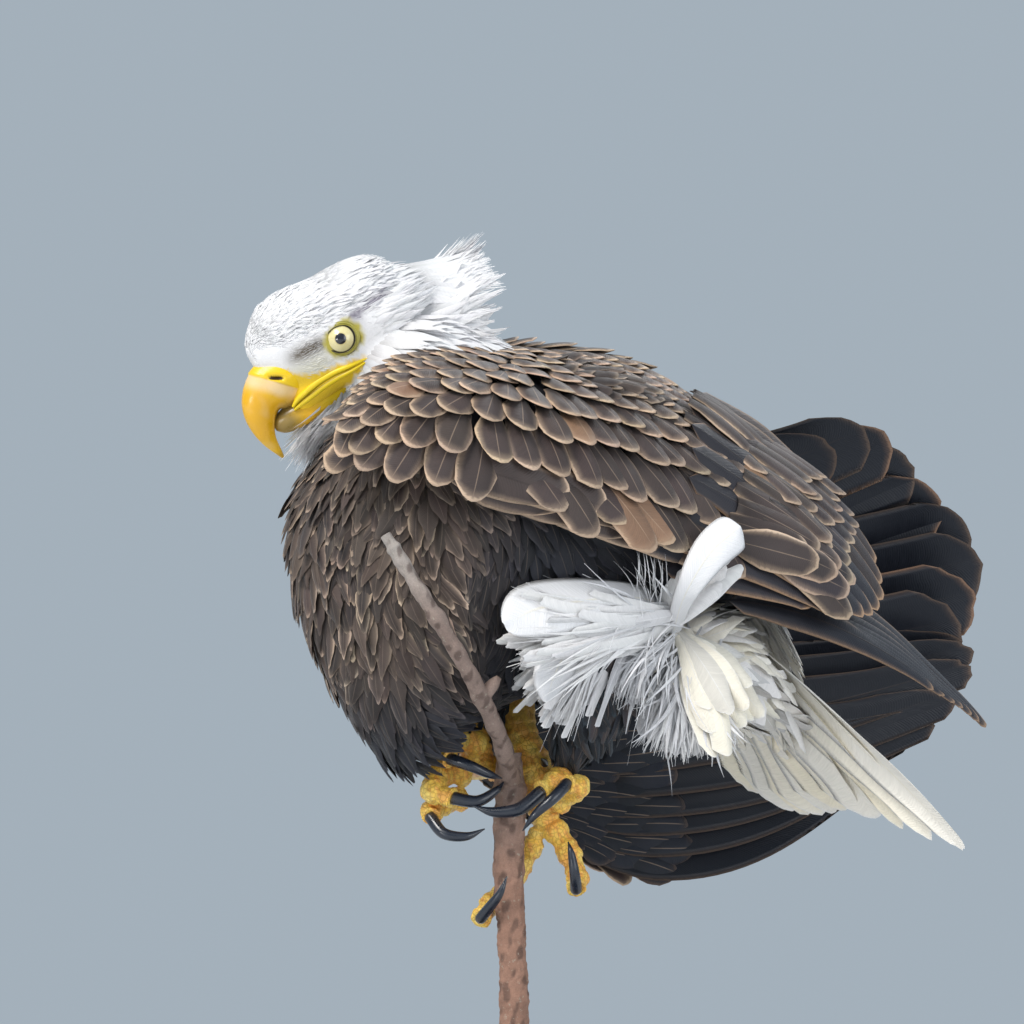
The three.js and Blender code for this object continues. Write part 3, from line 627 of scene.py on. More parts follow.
class Graph:
    """Short ways to place and join shader nodes in one tree."""

    def __init__(self, tree):
        self.tree = tree

    def add(self, kind, **values):
        """A node with its settings and unlinked inputs set by name; an input given a socket is linked."""
        node = self.tree.nodes.new(kind)
        for key, value in values.items():
            if hasattr(node, key) and not key[0].isupper():
                setattr(node, key, value)
                continue
            self.put(node.inputs[key.replace("_", " ")], value)
        return node

    def put(self, socket, value):
        """Links a socket, or sets its value."""
        if isinstance(value, bpy.types.NodeSocket):
            self.tree.links.new(value, socket)
        elif isinstance(value, (tuple, list, np.ndarray)):
            value = tuple(float(x) for x in value)
            size = len(socket.default_value)
            socket.default_value = (value + (1.0,) * size)[:size]
        else:
            socket.default_value = value

    def math(self, operation, a, b=0.0):
        """A Math node's result."""
        node = self.tree.nodes.new("ShaderNodeMath")
        node.operation = operation
        self.put(node.inputs[0], a)
        self.put(node.inputs[1], b)
        return node.outputs[0]

    def times(self, a, b):
        """a * b."""
        return self.math("MULTIPLY", a, b)

    def plus(self, a, b):
        """a + b."""
        return self.math("ADD", a, b)

    def minus(self, a, b):
        """a - b."""
        return self.math("SUBTRACT", a, b)

    def grey(self, value):
        """A colour with the value in all its channels."""
        return self.add("ShaderNodeCombineXYZ", X=value, Y=value, Z=value).outputs[0]

    def attribute(self, name, output="Color"):
        """A value stored at the mesh's points."""
        return self.add("ShaderNodeAttribute", attribute_name=name).outputs[output]

    def split(self, vector):
        """The three numbers of a vector."""
        return self.add("ShaderNodeSeparateXYZ", Vector=vector).outputs

    def blend(self, share, a, b, kind="MIX"):
        """Colour a taken towards b by a share."""
        node = self.tree.nodes.new("ShaderNodeMix")
        node.data_type = "RGBA"
        node.blend_type = kind
        node.clamp_factor = True
        self.put(node.inputs[0], share)
        self.put(node.inputs[6], a)
        self.put(node.inputs[7], b)
        return node.outputs[2]

    def ramp(self, value, low, high, bottom=0.0, top=1.0):
        """A value taken from low..high to bottom..top, eased at both ends."""
        node = self.tree.nodes.new("ShaderNodeMapRange")
        node.interpolation_type = "SMOOTHSTEP"
        for index, given in enumerate((value, low, high, bottom, top)):
            self.put(node.inputs[index], given)
        return node.outputs[0]

    def noise(self, vector, scale, detail=3.0, rough=0.55):
        """A Noise texture's grey value."""
        node = self.add("ShaderNodeTexNoise", Vector=vector, Scale=scale, Detail=detail, Roughness=rough)
        return node.outputs[0]

    def place(self, tree, **values):
        """One use of a node group, its inputs set by name."""
        node = self.tree.nodes.new("ShaderNodeGroup")
        node.node_tree = tree
        for key, value in values.items():
            self.put(node.inputs[key.replace("_", " ")], value)
        return node.outputs


def group(name, inputs, build):
    """A shader node group of number sockets, made once; build(graph, inputs) gives its outputs by name."""
    if name in bpy.data.node_groups:
        return bpy.data.node_groups[name]
    tree = bpy.data.node_groups.new(name, "ShaderNodeTree")
    for label, default in inputs.items():
        socket = tree.interface.new_socket(name=label, in_out="INPUT", socket_type="NodeSocketFloat")
        socket.default_value = default
    results = build(Graph(tree), tree.nodes.new("NodeGroupInput").outputs)
    for label in results:
        tree.interface.new_socket(name=label, in_out="OUTPUT", socket_type="NodeSocketFloat")
    leave = tree.nodes.new("NodeGroupOutput")
    for label, socket in results.items():
        tree.links.new(socket, leave.inputs[label])
    return tree


def vane_group():
    """Pattern of one feather: its pale rim, its shaft, streaks along the barbs and a fine height."""

    def build(g, given):
        parts = g.split(g.add("ShaderNodeUVMap", uv_map="Vane").outputs[0])
        half_width, length, chance = g.split(g.attribute("Size", "Vector"))
        along = parts[1]
        rim_width, shaft_width = given["Rim width"], given["Shaft width"]
        u = g.minus(g.times(parts[0], 2.0), 1.0)
        across = g.times(g.math("ABSOLUTE", u), half_width)
        to_tip = g.times(g.minus(1.0, along), length)
        to_side = g.minus(half_width, across)
        phase = g.plus(g.times(along, length), g.times(across, -0.9))
        where = g.add("ShaderNodeCombineXYZ", X=g.times(phase, 0.55), Y=g.times(across, 0.06),
                      Z=g.times(chance, 90.0)).outputs[0]
        streak = g.noise(where, 1.0, 4.0, 0.62)
        wobble = g.times(g.minus(streak, 0.5), g.times(rim_width, 1.1))
        near = g.plus(g.math("MINIMUM", to_tip, g.times(to_side, 1.5)), wobble)
        crisp = g.ramp(near, g.times(rim_width, 0.3), rim_width, 0.6, 0.0)
        rim = g.plus(crisp, g.ramp(near, 0.0, g.times(rim_width, 2.6), 0.4, 0.0))
        shaft = g.ramp(across, g.times(shaft_width, 0.4), shaft_width, 1.0, 0.0)
        shaft = g.times(shaft, g.ramp(along, 0.75, 1.0, 1.0, 0.0))
        barbs = g.math("SINE", g.times(phase, given["Barbs"]))
        height = g.plus(g.times(barbs, 0.5), g.times(streak, 1.6))
        height = g.plus(height, g.times(shaft, 1.5))
        return {"Rim": rim, "Shaft": shaft, "Streak": streak, "Height": height, "Along": along}

    return group("Feather vane", {"Rim width": 2.0, "Shaft width": 0.5, "Barbs": 5.0}, build)


def speckle_group():
    """Uneven tone of a natural surface: broad patches and fine grain, as one value about 1."""

    def build(g, given):
        place = g.add("ShaderNodeTexCoord").outputs["Object"]
        broad = g.noise(place, given["Patches"], 4.0)
        fine = g.noise(place, given["Grain"], 2.0)
        tone = g.plus(g.times(g.minus(broad, 0.5), given["Depth"]), 1.0)
        tone = g.plus(tone, g.times(g.minus(fine, 0.5), g.times(given["Depth"], 0.6)))
        return {"Tone": tone, "Broad": broad, "Fine": fine}

    return group("Natural tone", {"Patches": 40.0, "Grain": 600.0, "Depth": 0.4}, build)


def new_material(name):
    """An empty material, a Graph on its tree and its Principled shader."""
    material = bpy.data.materials.new(name)
    material.use_nodes = True
    return material, Graph(material.node_tree), material.node_tree.nodes["Principled BSDF"]


def settle(g, shader, colour, rough, bump, distance, height, **settings):
    """Gives a shader its colour, roughness and relief, and its other inputs by name."""
    g.put(shader.inputs["Base Color"], colour)
    g.put(shader.inputs["Roughness"], rough)
    relief = g.add("ShaderNodeBump", Strength=bump, Distance=distance, Height=height)
    g.put(shader.inputs["Normal"], relief.outputs[0])
    for key, value in settings.items():
        shader.inputs[key.replace("_", " ")].default_value = value


def feather_material(name, rim, shaft, barbs, roughness, sheen, base_shade, streak_depth, shaft_colour,
                     bump=0.3, shaft_share=0.5):
    """Feather finish: Marking towards Edging at the rim, streaked along the barbs, darker at its root."""
    material, g, shader = new_material(name)
    vane = g.place(vane_group(), Rim_width=rim, Shaft_width=shaft, Barbs=barbs)
    edge_share = g.times(vane["Rim"], g.attribute("Edging", "Alpha"))
    colour = g.blend(edge_share, g.attribute("Marking"), g.attribute("Edging"))
    colour = g.blend(g.times(vane["Shaft"], shaft_share), colour, tuple(shaft_colour))
    tone = g.plus(g.times(g.minus(vane["Streak"], 0.5), streak_depth), 1.0)
    # Towards the root: grey down, with painted shade where the overlapping feathers cover it.
    tone = g.times(tone, g.ramp(vane["Along"], 0.0, 0.55, base_shade, 1.0))
    colour = g.blend(1.0, colour, g.grey(tone), "MULTIPLY")
    rough = g.ramp(vane["Streak"], 0.3, 0.7, roughness - 0.06, roughness + 0.08)
    settle(g, shader, colour, rough, bump, 0.0004, vane["Height"], Sheen_Weight=sheen, Sheen_Roughness=0.5,
           Specular_IOR_Level=0.35)
    return material


def surface(name, patches, grain, depth, rough, bump, distance, colour=None, cells=0.0, flecks=0.0,
            rough_by="Broad", **settings):
    """A finish of uneven tone and fine relief, in the colour of the Marking attribute or one of its own.

    cells is the scale of a pattern of small plates, and flecks the share of pale lichen.
    """
    material, g, shader = new_material(name)
    tone = g.place(speckle_group(), Patches=patches, Grain=grain, Depth=depth)
    colour = g.attribute("Marking") if colour is None else tuple(colour)
    colour = g.blend(1.0, colour, g.grey(tone["Tone"]), "MULTIPLY")
    height = tone["Fine"]
    if cells:
        place = g.add("ShaderNodeTexCoord").outputs["Object"]
        plates = g.add("ShaderNodeTexVoronoi", feature="DISTANCE_TO_EDGE", Vector=place, Scale=cells)
        crease = g.ramp(plates.outputs["Distance"], 0.0, 0.12)
        colour = g.blend(crease, g.blend(0.35, colour, (0.25, 0.11, 0.02)), colour)
        height = g.plus(crease, g.times(height, 0.3))
    if flecks:
        place = g.add("ShaderNodeTexCoord").outputs["Object"]
        lichen = g.ramp(g.noise(place, 320.0, 3.0, 0.7), 0.60, 0.68)
        colour = g.blend(g.times(lichen, flecks), colour, linear(176, 172, 156))
    settle(g, shader, colour, g.ramp(tone[rough_by], 0.3, 0.7, *rough), bump, distance, height, **settings)
    return material


# ---------------------------------------------------------------- colours of the plumage

BROWN = linear(70, 59, 56)
BROWN_EDGE = linear(218, 188, 160)
WORN = linear(140, 108, 86)
BREAST = linear(72, 60, 54)
BREAST_EDGE = linear(176, 154, 134)
# Dark brown of belly, flanks and thighs, made blue-black as painted shade under the body and painted sky
# reflection.
SHADED_BELLY = linear(26, 27, 34)
# Dark slate of the folded wing's flight feathers; its blue is a painted sky reflection.
SLATE = linear(44, 45, 54)
SLATE_EDGE = linear(196, 158, 124)
# Blue-black of the right wing seen from below: dark brown with painted shade and painted sky reflection.
SHADED_INK = linear(17, 20, 28)
INK_EDGE = linear(120, 96, 78)
WHITE = linear(234, 233, 234)
# Cream that stands in for the glow of light through thin white feathers: painted light.
CREAM_GLOW = linear(246, 236, 212)
# Grey for painted shade on white feathers.
SHADE_GREY = linear(168, 168, 172)


def vary(rng, colours, depth, tint=0.02):
    """Colours made lighter or darker at random, one feather at a time, with a little change of hue."""
    count = len(colours)
    tone = 1 + depth * rng.uniform(-1, 1, (count, 1))
    return np.clip(colours * tone * (1 + tint * rng.normal(size=(count, 3))), 0.001, 0.95)


def varied(rng, colour, count, depth, tint=0.02):
    """One colour, varied for each feather."""
    return vary(rng, many(colour, count), depth, tint)


def many(colour, count):
    """One colour repeated for each feather."""
    return np.broadcast_to(np.asarray(colour, float), (count, 3)).copy()


def near_eye(forward, up, grow=0.0):
    """Below 1 inside the bare ring round the eye, whose upper front is cut off by the brow."""
    brow = (up + 0.28 * forward) / (7.6 + grow)
    return np.maximum(np.hypot((forward + 0.6) / (12.6 + grow), (up + 1.6) / (11.0 + grow)), brow)


def bare_face(forward, up):
    """1 on the yellow skin between the lores and the gape, 0 on feathered skin."""
    top = np.interp(forward, [-9, 1, 8, 16, 24, 32, 38], [-20, -17.2, -15.6, -14.4, -13.0, -10.0, -3.0])
    foot = np.interp(forward, [-9, 2, 14, 22, 32, 42], [-23, -26, -32, -37, -38, -38])
    return smooth(-1.2, 0.6, top - up) * smooth(-1.5, 0.5, up - foot) * smooth(-10, -6, forward)


def face_colour(forward, left, up):
    """White, greyed to olive on the lores, with a dark streak running back from the eye."""
    count = len(forward)
    colour = many(WHITE, count)
    lores = np.exp(-(((forward - 22) / 13.0) ** 4) - (((up - 3.2) / 5.0) ** 2))
    cheek = np.exp(-(((forward - 26) / 15) ** 4) - (((up + 9) / 8) ** 2))
    line = 7.6 - (forward + 12) * 0.10
    # Painted shade along the parting of the feathers behind the eye: the streak and the patch beside it.
    streak = np.exp(-(((up - line) / 2.5) ** 2)) * smooth(-46, -36, forward) * smooth(-9, -13, forward)
    shade_behind_eye = np.exp(-(((forward + 15) / 4) ** 2) - (((up - 5) / 7) ** 2))
    beside = smooth(6, 12, np.abs(left))
    colour = mix(colour, linear(214, 208, 176), 0.7 * cheek * beside)
    colour = mix(colour, linear(70, 54, 24), 0.98 * lores * beside)
    return mix(colour, linear(92, 84, 104), np.clip(0.9 * streak + 0.35 * shade_behind_eye, 0, 0.9) * beside)


# ---------------------------------------------------------------- skin

def slab(shape, rows, columns, outer, inner):
    """Closed plate on a surface of two parameters, from `outer` below it to `inner` below it."""
    s, t = np.meshgrid(rows, columns, indexing="ij")
    p, _, _, face = frame_at(shape, s, t, -1.0)
    ring = np.concatenate([p - face * outer, (p - face * inner)[:, ::-1]], axis=1)
    around = ring.shape[1]
    quads = [grid_quads(len(rows), around, closed=True)]
    j = np.arange(len(columns) - 1)
    for row, step in ((0, 1), (len(rows) - 1, -1)):
        a, b = row * around + j, row * around + around - 1 - j
        quads.append(np.column_stack([a, a + 1, b - 1, b])[:, ::step])
    return oriented(ring.reshape(-1, 3), np.vstack(quads))


def joined(shells):
    """One shell from several."""
    starts = np.cumsum([0] + [len(points) for points, _, _ in shells])
    return tuple(np.vstack([shell[i] + (start if i else 0) for shell, start in zip(shells, starts)])
                 for i in range(3))


def melted(name, shells, voxel, smoothing):
    """One closed surface round several overlapping ones: their union on a grid of voxels, smoothed."""
    rough = new_mesh(name + "_rough", joined(shells))
    remesh = rough.modifiers.new("Union", "REMESH")
    remesh.mode = "VOXEL"
    remesh.voxel_size = voxel * 0.001
    remesh.use_smooth_shade = True
    soft = rough.modifiers.new("Soften", "SMOOTH")
    soft.factor = 0.5
    soft.iterations = smoothing
    evaluated = rough.evaluated_get(bpy.context.evaluated_depsgraph_get())
    mesh = bpy.data.meshes.new_from_object(evaluated)
    mesh.name = name
    bpy.data.objects.remove(rough)
    return link(bpy.data.objects.new(name, mesh))


def mesh_points(obj):
    """Points and normals of a mesh in the bird's millimetres."""
    count = len(obj.data.vertices)
    co = np.zeros(count * 3, np.float32)
    no = np.zeros(count * 3, np.float32)
    obj.data.vertices.foreach_get("co", co)
    obj.data.vertex_normals.foreach_get("vector", no)
    points = co.reshape(-1, 3).astype(float) * 1000 - np.array([0, 0, GRIP_HEIGHT])
    return points, no.reshape(-1, 3).astype(float)


def set_points(obj, points):
    """Moves the points of a mesh."""
    obj.data.vertices.foreach_set("co", to_metres(points).astype(np.float32).ravel())
    obj.data.update()


def set_colour(obj, colours):
    """Stores a colour at each point of a mesh."""
    attribute = obj.data.attributes.new("Marking", "FLOAT_COLOR", "POINT")
    attribute.data.foreach_set("color", rgba(colours).astype(np.float32).ravel())


FACE_SKIN_STATIONS = [
    [-60, 0, -5, 10, 14], [-48, 0, -3, 24, 27], [-28, 0, -2.5, 29, 32], [-4, 0, -1.5, 28, 35],
    [18, 0, 0.5, 24.5, 36], [32, 0, 2.5, 19, 33], [41, 0, 7, 13, 24.5], [47, 0, 11, 9.5, 17],
    [53, 0, 12.5, 6, 9],
]
# The jaw's side, from the corner of the mouth to the bill, for the left side.
JAW_STATIONS = [
    [-13, 20, -22, 3, 3], [-4, 22, -22, 4, 7], [8, 20.3, -21.5, 4.5, 8], [20, 16.3, -22, 4.5, 8.5],
    [32, 11.3, -24, 4.5, 8.5], [43, 6.5, -27, 4, 7],
]
# The line where the lips meet: forward, left and up.
MOUTH = np.array([
    [-9, 25.4, -21.6], [-4, 26.0, -21.3], [5, 25.2, -21.0], [14, 22.4, -20.4], [24, 18.8, -20.9],
    [34, 15.2, -22.7], [41, 11.6, -24.4], [45.5, 8.8, -26.2],
])


def jaw(side):
    """Ridge of the jaw below the cheek, that carries the lips."""
    return Loft([[f, side * l, *rest] for f, l, *rest in JAW_STATIONS], kind="head")


def face_skin():
    """The head under its feathers, drawn in round the root of the bill."""
    return Loft(FACE_SKIN_STATIONS, axis=(0, -1, 0), kind="head")


def make_skin(plumage):
    """One skin under all the feathers, inside the solids by the depth of the coat."""
    depth = plumage.coat_depth
    across_fan = np.linspace(0, 0.3, 10)
    shells = [
        tube(trunk(depth), 60, 48),
        tube(neck(depth), 30, 40),
        tube(face_skin(), 50, 48),
        *(tube(jaw(side), 30, 20) for side in (1, -1)),
        *(tube(thigh(side, depth * 0.8), 24, 32) for side in (1, -1)),
        tube(upper_arm(depth * 0.6), 24, 28),
        tube(tail_coverts(depth), 24, 32),
        slab(left_arm, np.linspace(0.03, 0.985, 40), np.linspace(0.03, 0.83, 24), 7.0, 16.0),
        slab(right_secondary_sheet, np.linspace(0.004, 0.996, 30), across_fan, -4.0, 4.0),
        slab(right_primary_sheet, np.linspace(0.0, 0.98, 24), across_fan, -4.0, 4.0),
    ]
    skin = melted("skin", shells, 3.2, 5)
    p, normal = mesh_points(skin)
    forward, left, up = in_head(p)
    pale = skull(-6).holds(p) | (neck(-4).holds(p) & (p[:, 2] > 205) & (p[:, 1] < -20))
    pale |= tail_coverts(-5).holds(p) & (p[:, 1] > 100)
    colour = mix(many(SHADED_BELLY * 0.8, len(p)), WHITE * 0.8, pale)
    on_face = face_skin().holds(p, -4) | jaw(1).holds(p, -3) | jaw(-1).holds(p, -3)
    bare = bare_face(forward, up) * (np.abs(left) > 6)
    face = mix(face_colour(forward, left, up), linear(236, 196, 34), bare)
    colour = np.where(on_face[:, None], face, colour)
    beside = on_face * (np.abs(left) > 12)
    colour = mix(colour, linear(178, 166, 66), beside * smooth(1.12, 1.0, near_eye(forward, up)))
    socket = beside * smooth(9.5, 7.0, np.hypot(forward + 0.9, up + 2.4))
    set_points(skin, p - normal * (socket * 6.0)[:, None])
    set_colour(skin, colour)
    material = surface("bare skin", 60, 900, 0.3, (0.54, 0.70), 0.35, 0.0004)
    finish_piece(
        skin, material, "body_feather", "trunk", "neck", "hackles", "head", "thigh_left", "thigh_right",
        "wing_left_arm", "wing_right_upper", "wing_right_forearm", "wing_right_hand", "tail_coverts",
    )


# ---------------------------------------------------------------- feathers of the head and neck

# Forms that many lots share: a lancet of the nape and a broad covert.
LANCET = {"rows": 7, "columns": 3, "broad": 0.35, "arc": 0.0, "free": True}
COVERT = {"rows": 7, "columns": 7, "tip": 0.86, "arc": 0.42}


def chosen(keep, *arrays):
    """The rows of each array where keep is true."""
    return [array[keep] for array in arrays]


def make_head_feathers(plumage):
    """Fine white feathers of the head, growing from bristles at the bill to lancets on the nape."""
    rng = np.random.default_rng(11)
    finish = feather_material("white down", 0.8, 0.35, 6.0, 0.75, 0.08, 0.66, 0.32, WHITE)
    pitch = ([0, 0.35, 0.6, 1], [3.4, 2.7, 1.7, 1.2], [2.6, 2.1, 1.5, 1.2])
    s, a, p, ds, face = rooted(face_skin(), rng, pitch, along=(0.03, 0.985))
    forward, left, up = in_head(p)
    places = [-60, -30, -5, 20, 38, 52]
    length = np.interp(forward, places, [19, 17, 13.5, 8.5, 5.2, 3.4])
    width = np.interp(forward, places, [4.6, 3.8, 2.7, 1.9, 1.3, 0.9])
    around = np.exp(-((near_eye(forward, up) - 1.2) / 0.45) ** 2) * smooth(12, 20, np.abs(left))
    length = length * (1 - 0.55 * around)
    heading = -ds + 0.15 * rng.normal(size=p.shape)
    heading = heading - np.array([0, 0, 0.35]) * smooth(-18, -32, up)[:, None]
    tip_forward, _, tip_up = in_head(p + unit(heading) * length[:, None])
    keep = (near_eye(forward, up, 0.4) > 1) & (np.hypot(tip_forward + 0.9, tip_up + 2.4) > 11.5)
    keep |= np.abs(left) < 12
    bare = bare_face(forward, up) * (np.abs(left) > 6)
    keep &= rng.uniform(size=len(p)) > bare * 0.85
    edge_of_cere = np.interp(up, [-40, -14.5, -5.2, 0, 6.5, 11.4], [40, 37.5, 33.5, 34.5, 38.5, 44.4])
    keep &= (forward < edge_of_cere) | (up > 11.4 - 0.46 * (forward - 44.4))
    colour = vary(rng, face_colour(*in_head(p + unit(heading) * (0.65 * length)[:, None])), 0.11, 0.006)
    lift = rng.uniform(9, 15, len(p)) - 9 * smooth(-5, -40, forward)
    crown = np.exp(-((np.maximum(forward - 14, 0) / 30) ** 4))
    crown = crown * smooth(-46, -26, forward) * smooth(11, 30, up)
    length, width = length + 3 * crown, width * (1 - 0.5 * bare) * (1 + 0.5 * crown)
    s, a, p, face, heading, length, width, lift, colour, crown, rear = chosen(
        keep, s, a, p, face, heading, length, width, lift, colour, crown, smooth(0, -24, forward))
    raised = face * (crown * (rng.uniform(4.6, 5.6, len(p)) + 3.0 * rear))[:, None]
    fine = lot(rng, p - face * 0.6 + raised, heading, face, length, width, colour, rows=5, columns=3,
               lift=(lift, -8), camber=0.25, sway=0.12 * rng.normal(size=len(p)), neck_width=0.7, broad=0.35,
               tip=0.12, arc=0.1, at=np.column_stack([a / TAU, s]))
    coat("head_feathers", [fine], finish, "white_feather")

    pitch = ([0, 1], [7, 4.5], [5.2, 3.6])
    s, a, p, ds, face = rooted(neck(plumage.coat_depth - 1), rng, pitch, (skull(9), trunk(12)))
    length = rng.uniform(26, 34, len(p))
    width = rng.uniform(5.0, 7.0, len(p))
    colour = varied(rng, WHITE, len(p), 0.05, 0.006)
    heading = -ds + 0.14 * rng.normal(size=p.shape)
    under = lot(rng, p, heading, face, length, width, colour, rows=6, columns=3, lift=(16, 0), camber=0.2,
                sway=0.1 * rng.normal(size=len(p)), neck_width=0.6, broad=0.4, tip=0.1, arc=0.1,
                at=np.column_stack([a / TAU, s]), window=(0, 0, 1, 0.5))
    lots = [under, *hackle_lots(rng), mane_lot(rng), nape_lot(rng), throat_lot(rng)]
    coat("neck_hackles", lots, finish, "white_feather")


HACKLE_START = np.array([-6.0, -94, 288])
HACKLE_LINE = np.array([6.0, 89, 33])
HACKLE_AHEAD = unit(HACKLE_LINE)
HACKLE_ACROSS = unit(np.cross(HACKLE_AHEAD, np.array([0, 0, 1.0])))
HACKLE_UPRIGHT = np.cross(HACKLE_ACROSS, HACKLE_AHEAD)


def hackle_out(angle, wide, high):
    """Way out of the hackles' line: across * cos(angle) * wide + upright * sin(angle) * high."""
    wide, high = np.cos(angle) * wide, np.sin(angle) * high
    return HACKLE_ACROSS * wide[:, None] + HACKLE_UPRIGHT * high[:, None]


def hackle_lots(rng):
    """Spiky locks of the nape, blown back and up: each lock's lancets run together at one point."""
    lots = []
    layers = ((1.0, 1.0, 34, 18), (0.86, 0.92, 28, 14), (0.66, 0.84, 18, 10), (0.42, 0.78, 12, 8))
    for layer, (radius, reach, locks, each) in enumerate(layers):
        angle = (np.arange(locks) + rng.uniform(-0.3, 0.3, locks)) / locks * TAU
        ragged = rng.uniform(0.80, 1.0, locks) * (0.80 + 0.26 * (np.sin(angle) + 1) / 2) * reach

        def ring(t, turn_by):
            out = hackle_out(turn_by, (25 + 11 * t) * radius, (21 + 27 * t) * radius)
            return HACKLE_START + HACKLE_LINE * t[:, None] + out

        own = np.repeat(np.arange(locks), each)
        count = len(own)
        begin = rng.uniform(0.02, 0.6, count)
        turn_by = angle[own] + rng.normal(0, 0.15, count)
        roots = ring(begin, turn_by)
        short = rng.uniform(0, 1, count)[:, None] ** 1.6
        ends = ring(ragged, angle)[own] + rng.normal(0, 1.0, (count, 3)) * (0.4 + 2.2 * short)
        heading = ends - HACKLE_LINE * 0.22 * short - roots
        face = unit(roots - (HACKLE_START + HACKLE_LINE * begin[:, None]))
        width = rng.uniform(5.0, 7.6, count)
        colour = varied(rng, WHITE, count, 0.05, 0.005)
        low = 0.5 + 0.1 * layer
        length = np.linalg.norm(heading, axis=1)
        lots.append(lot(rng, roots - face * 1.5, heading, face, length, width, colour, lift=(-5, 8),
                        camber=0.16, neck_width=0.5, tip=0.05, **LANCET, window=(0, low, 1, low + 0.1),
                        at=np.column_stack([turn_by % TAU / TAU, begin / 0.6])))
    return lots


def nape_lot(rng):
    """Lancets from the rear of the crown to the upper hackles, that close the step between them."""
    count = 760
    turn_by = np.radians(68 + 56 * rng.uniform(-1, 1, count))
    root = on_head(rng.uniform(-60, -40, count), 17 * np.cos(turn_by), 4 + 14 * np.sin(turn_by))
    t = rng.uniform(0.50, 0.92, count)
    heading = HACKLE_START + HACKLE_LINE * t[:, None] + hackle_out(turn_by, 24 + 11 * t, 20 + 26 * t) - root
    width = rng.uniform(4.6, 6.6, count)
    colour = varied(rng, WHITE, count, 0.05, 0.005)
    face, length = hackle_out(turn_by, 1, 1), np.linalg.norm(heading, axis=1)
    return lot(rng, root, heading, face, length, width, colour, lift=(-8, 8), camber=0.2, neck_width=0.6,
               tip=0.06, **LANCET, at=np.column_stack([turn_by / math.pi, t]), window=(0.3, 0.9, 0.5, 1))


def mane_lot(rng):
    """Lancets that carry the back of the head on into the hackles."""
    s, a, p, ds, face = rooted(face_skin(), rng, ([0], [2.6], [2.4]), along=(0.0, 0.32))
    up = in_head(p)[2]
    s, a, p, ds, face, up = chosen(up > -12, s, a, p, ds, face, up)
    rising = (0.10 + 0.40 * smooth(0.2, 0.02, s))[:, None]
    heading = -ds * 0.8 + HACKLE_AHEAD * rising + 0.05 * rng.normal(size=p.shape)
    length = rng.uniform(22, 34, len(p))
    width = rng.uniform(4.0, 5.6, len(p))
    colour = varied(rng, WHITE, len(p), 0.05, 0.005)
    over = smooth(2, 18, up)
    return lot(rng, p - face * 1.0, heading, face, length, width, colour, lift=(1 - 5 * over, -2 - 16 * over),
               camber=0.2, neck_width=0.6, tip=0.08, **LANCET, at=np.column_stack([a / TAU, s * 3]),
               window=(0, 0.9, 0.3, 1))


def throat_lot(rng):
    """White feathers of chin and throat: a short dense coat, and tufts blown forward under the bill."""
    count = 3400
    tuft = rng.uniform(size=count) < 0.45
    forward = rng.uniform(-24, 26, count)
    left = rng.uniform(-17, 17, count) * np.where(tuft, 0.7, 1) * (1 - 0.6 * smooth(0, 26, forward))
    up = -33 - rng.uniform(0, 7, count) + 0.30 * np.abs(left)
    root = on_head(forward, left, up)
    reach = rng.uniform(0.45, 1.0, count)
    ahead = np.where(tuft, 50 - 0.40 * forward, 24 - 0.3 * forward)
    below = np.where(tuft, 23 + 6 * rng.normal(size=count), 22)
    aim = on_head(forward + ahead * reach, left * 1.15, up - below * reach) - root
    heading = aim + rng.normal(0, 2.2, (count, 3))
    width = rng.uniform(3.0, 5.0, count)
    face = unit(on_head(forward, left * 3, up - 30) - root)
    # Whiter than WHITE: painted light that lifts the throat out of the head's shade.
    colour = varied(rng, WHITE * 1.14, count, 0.03, 0.004)
    length = np.linalg.norm(heading, axis=1)
    form = {**LANCET, "rows": 6}
    return lot(rng, root, heading, face, length, width, colour, lift=(8, -8), camber=0.2,
               sway=0.12 * rng.normal(size=count), neck_width=0.5, tip=0.06, **form,
               at=np.column_stack([(forward + 24) / 50, (left + 17) / 34]), window=(0.5, 0.9, 1, 1.0))


# ---------------------------------------------------------------- feathers of the body

def body_flow(p, face):
    """Lie of the body's feathers: down over the breast, turning back under the belly and along the back."""
    back = smooth(-120, 50, p[:, 1]) * 0.85 + 0.15 * smooth(-60, 60, p[:, 1])
    top = smooth(0.2, 0.9, face[:, 2]) * smooth(-70, -20, p[:, 1])
    under = smooth(-0.4, -0.85, face[:, 2])
    share = np.clip(back + top + under, 0, 1)
    return np.column_stack([0 * share, share, -(1 - share) - 0.25 * (1 - under)])


def body_colour(p, face, rng):
    """Brown streaked breast, blue-black belly and flanks, brown back: colour, rim colour and rim strength."""
    front = smooth(-20, -95, p[:, 1]) * smooth(35, 105, p[:, 2])
    above = smooth(-0.1, 0.6, face[:, 2]) * smooth(150, 200, p[:, 2])
    brown = np.clip(front + above, 0, 1)
    patches = smooth(-0.6, 0.9, ripple(p, 60, 5))
    # Where not brown, the belly colour with its painted shade and sky reflection.
    colour = mix(many(SHADED_BELLY, len(p)), BREAST * 0.9, brown * (0.55 + 0.45 * patches))
    edge = mix(many(linear(84, 84, 98), len(p)), BREAST_EDGE, brown)
    strength = (0.25 + 0.85 * brown) * rng.uniform(0, 1, len(p)) ** 1.3
    return vary(rng, colour, 0.4), vary(rng, edge, 0.25), strength


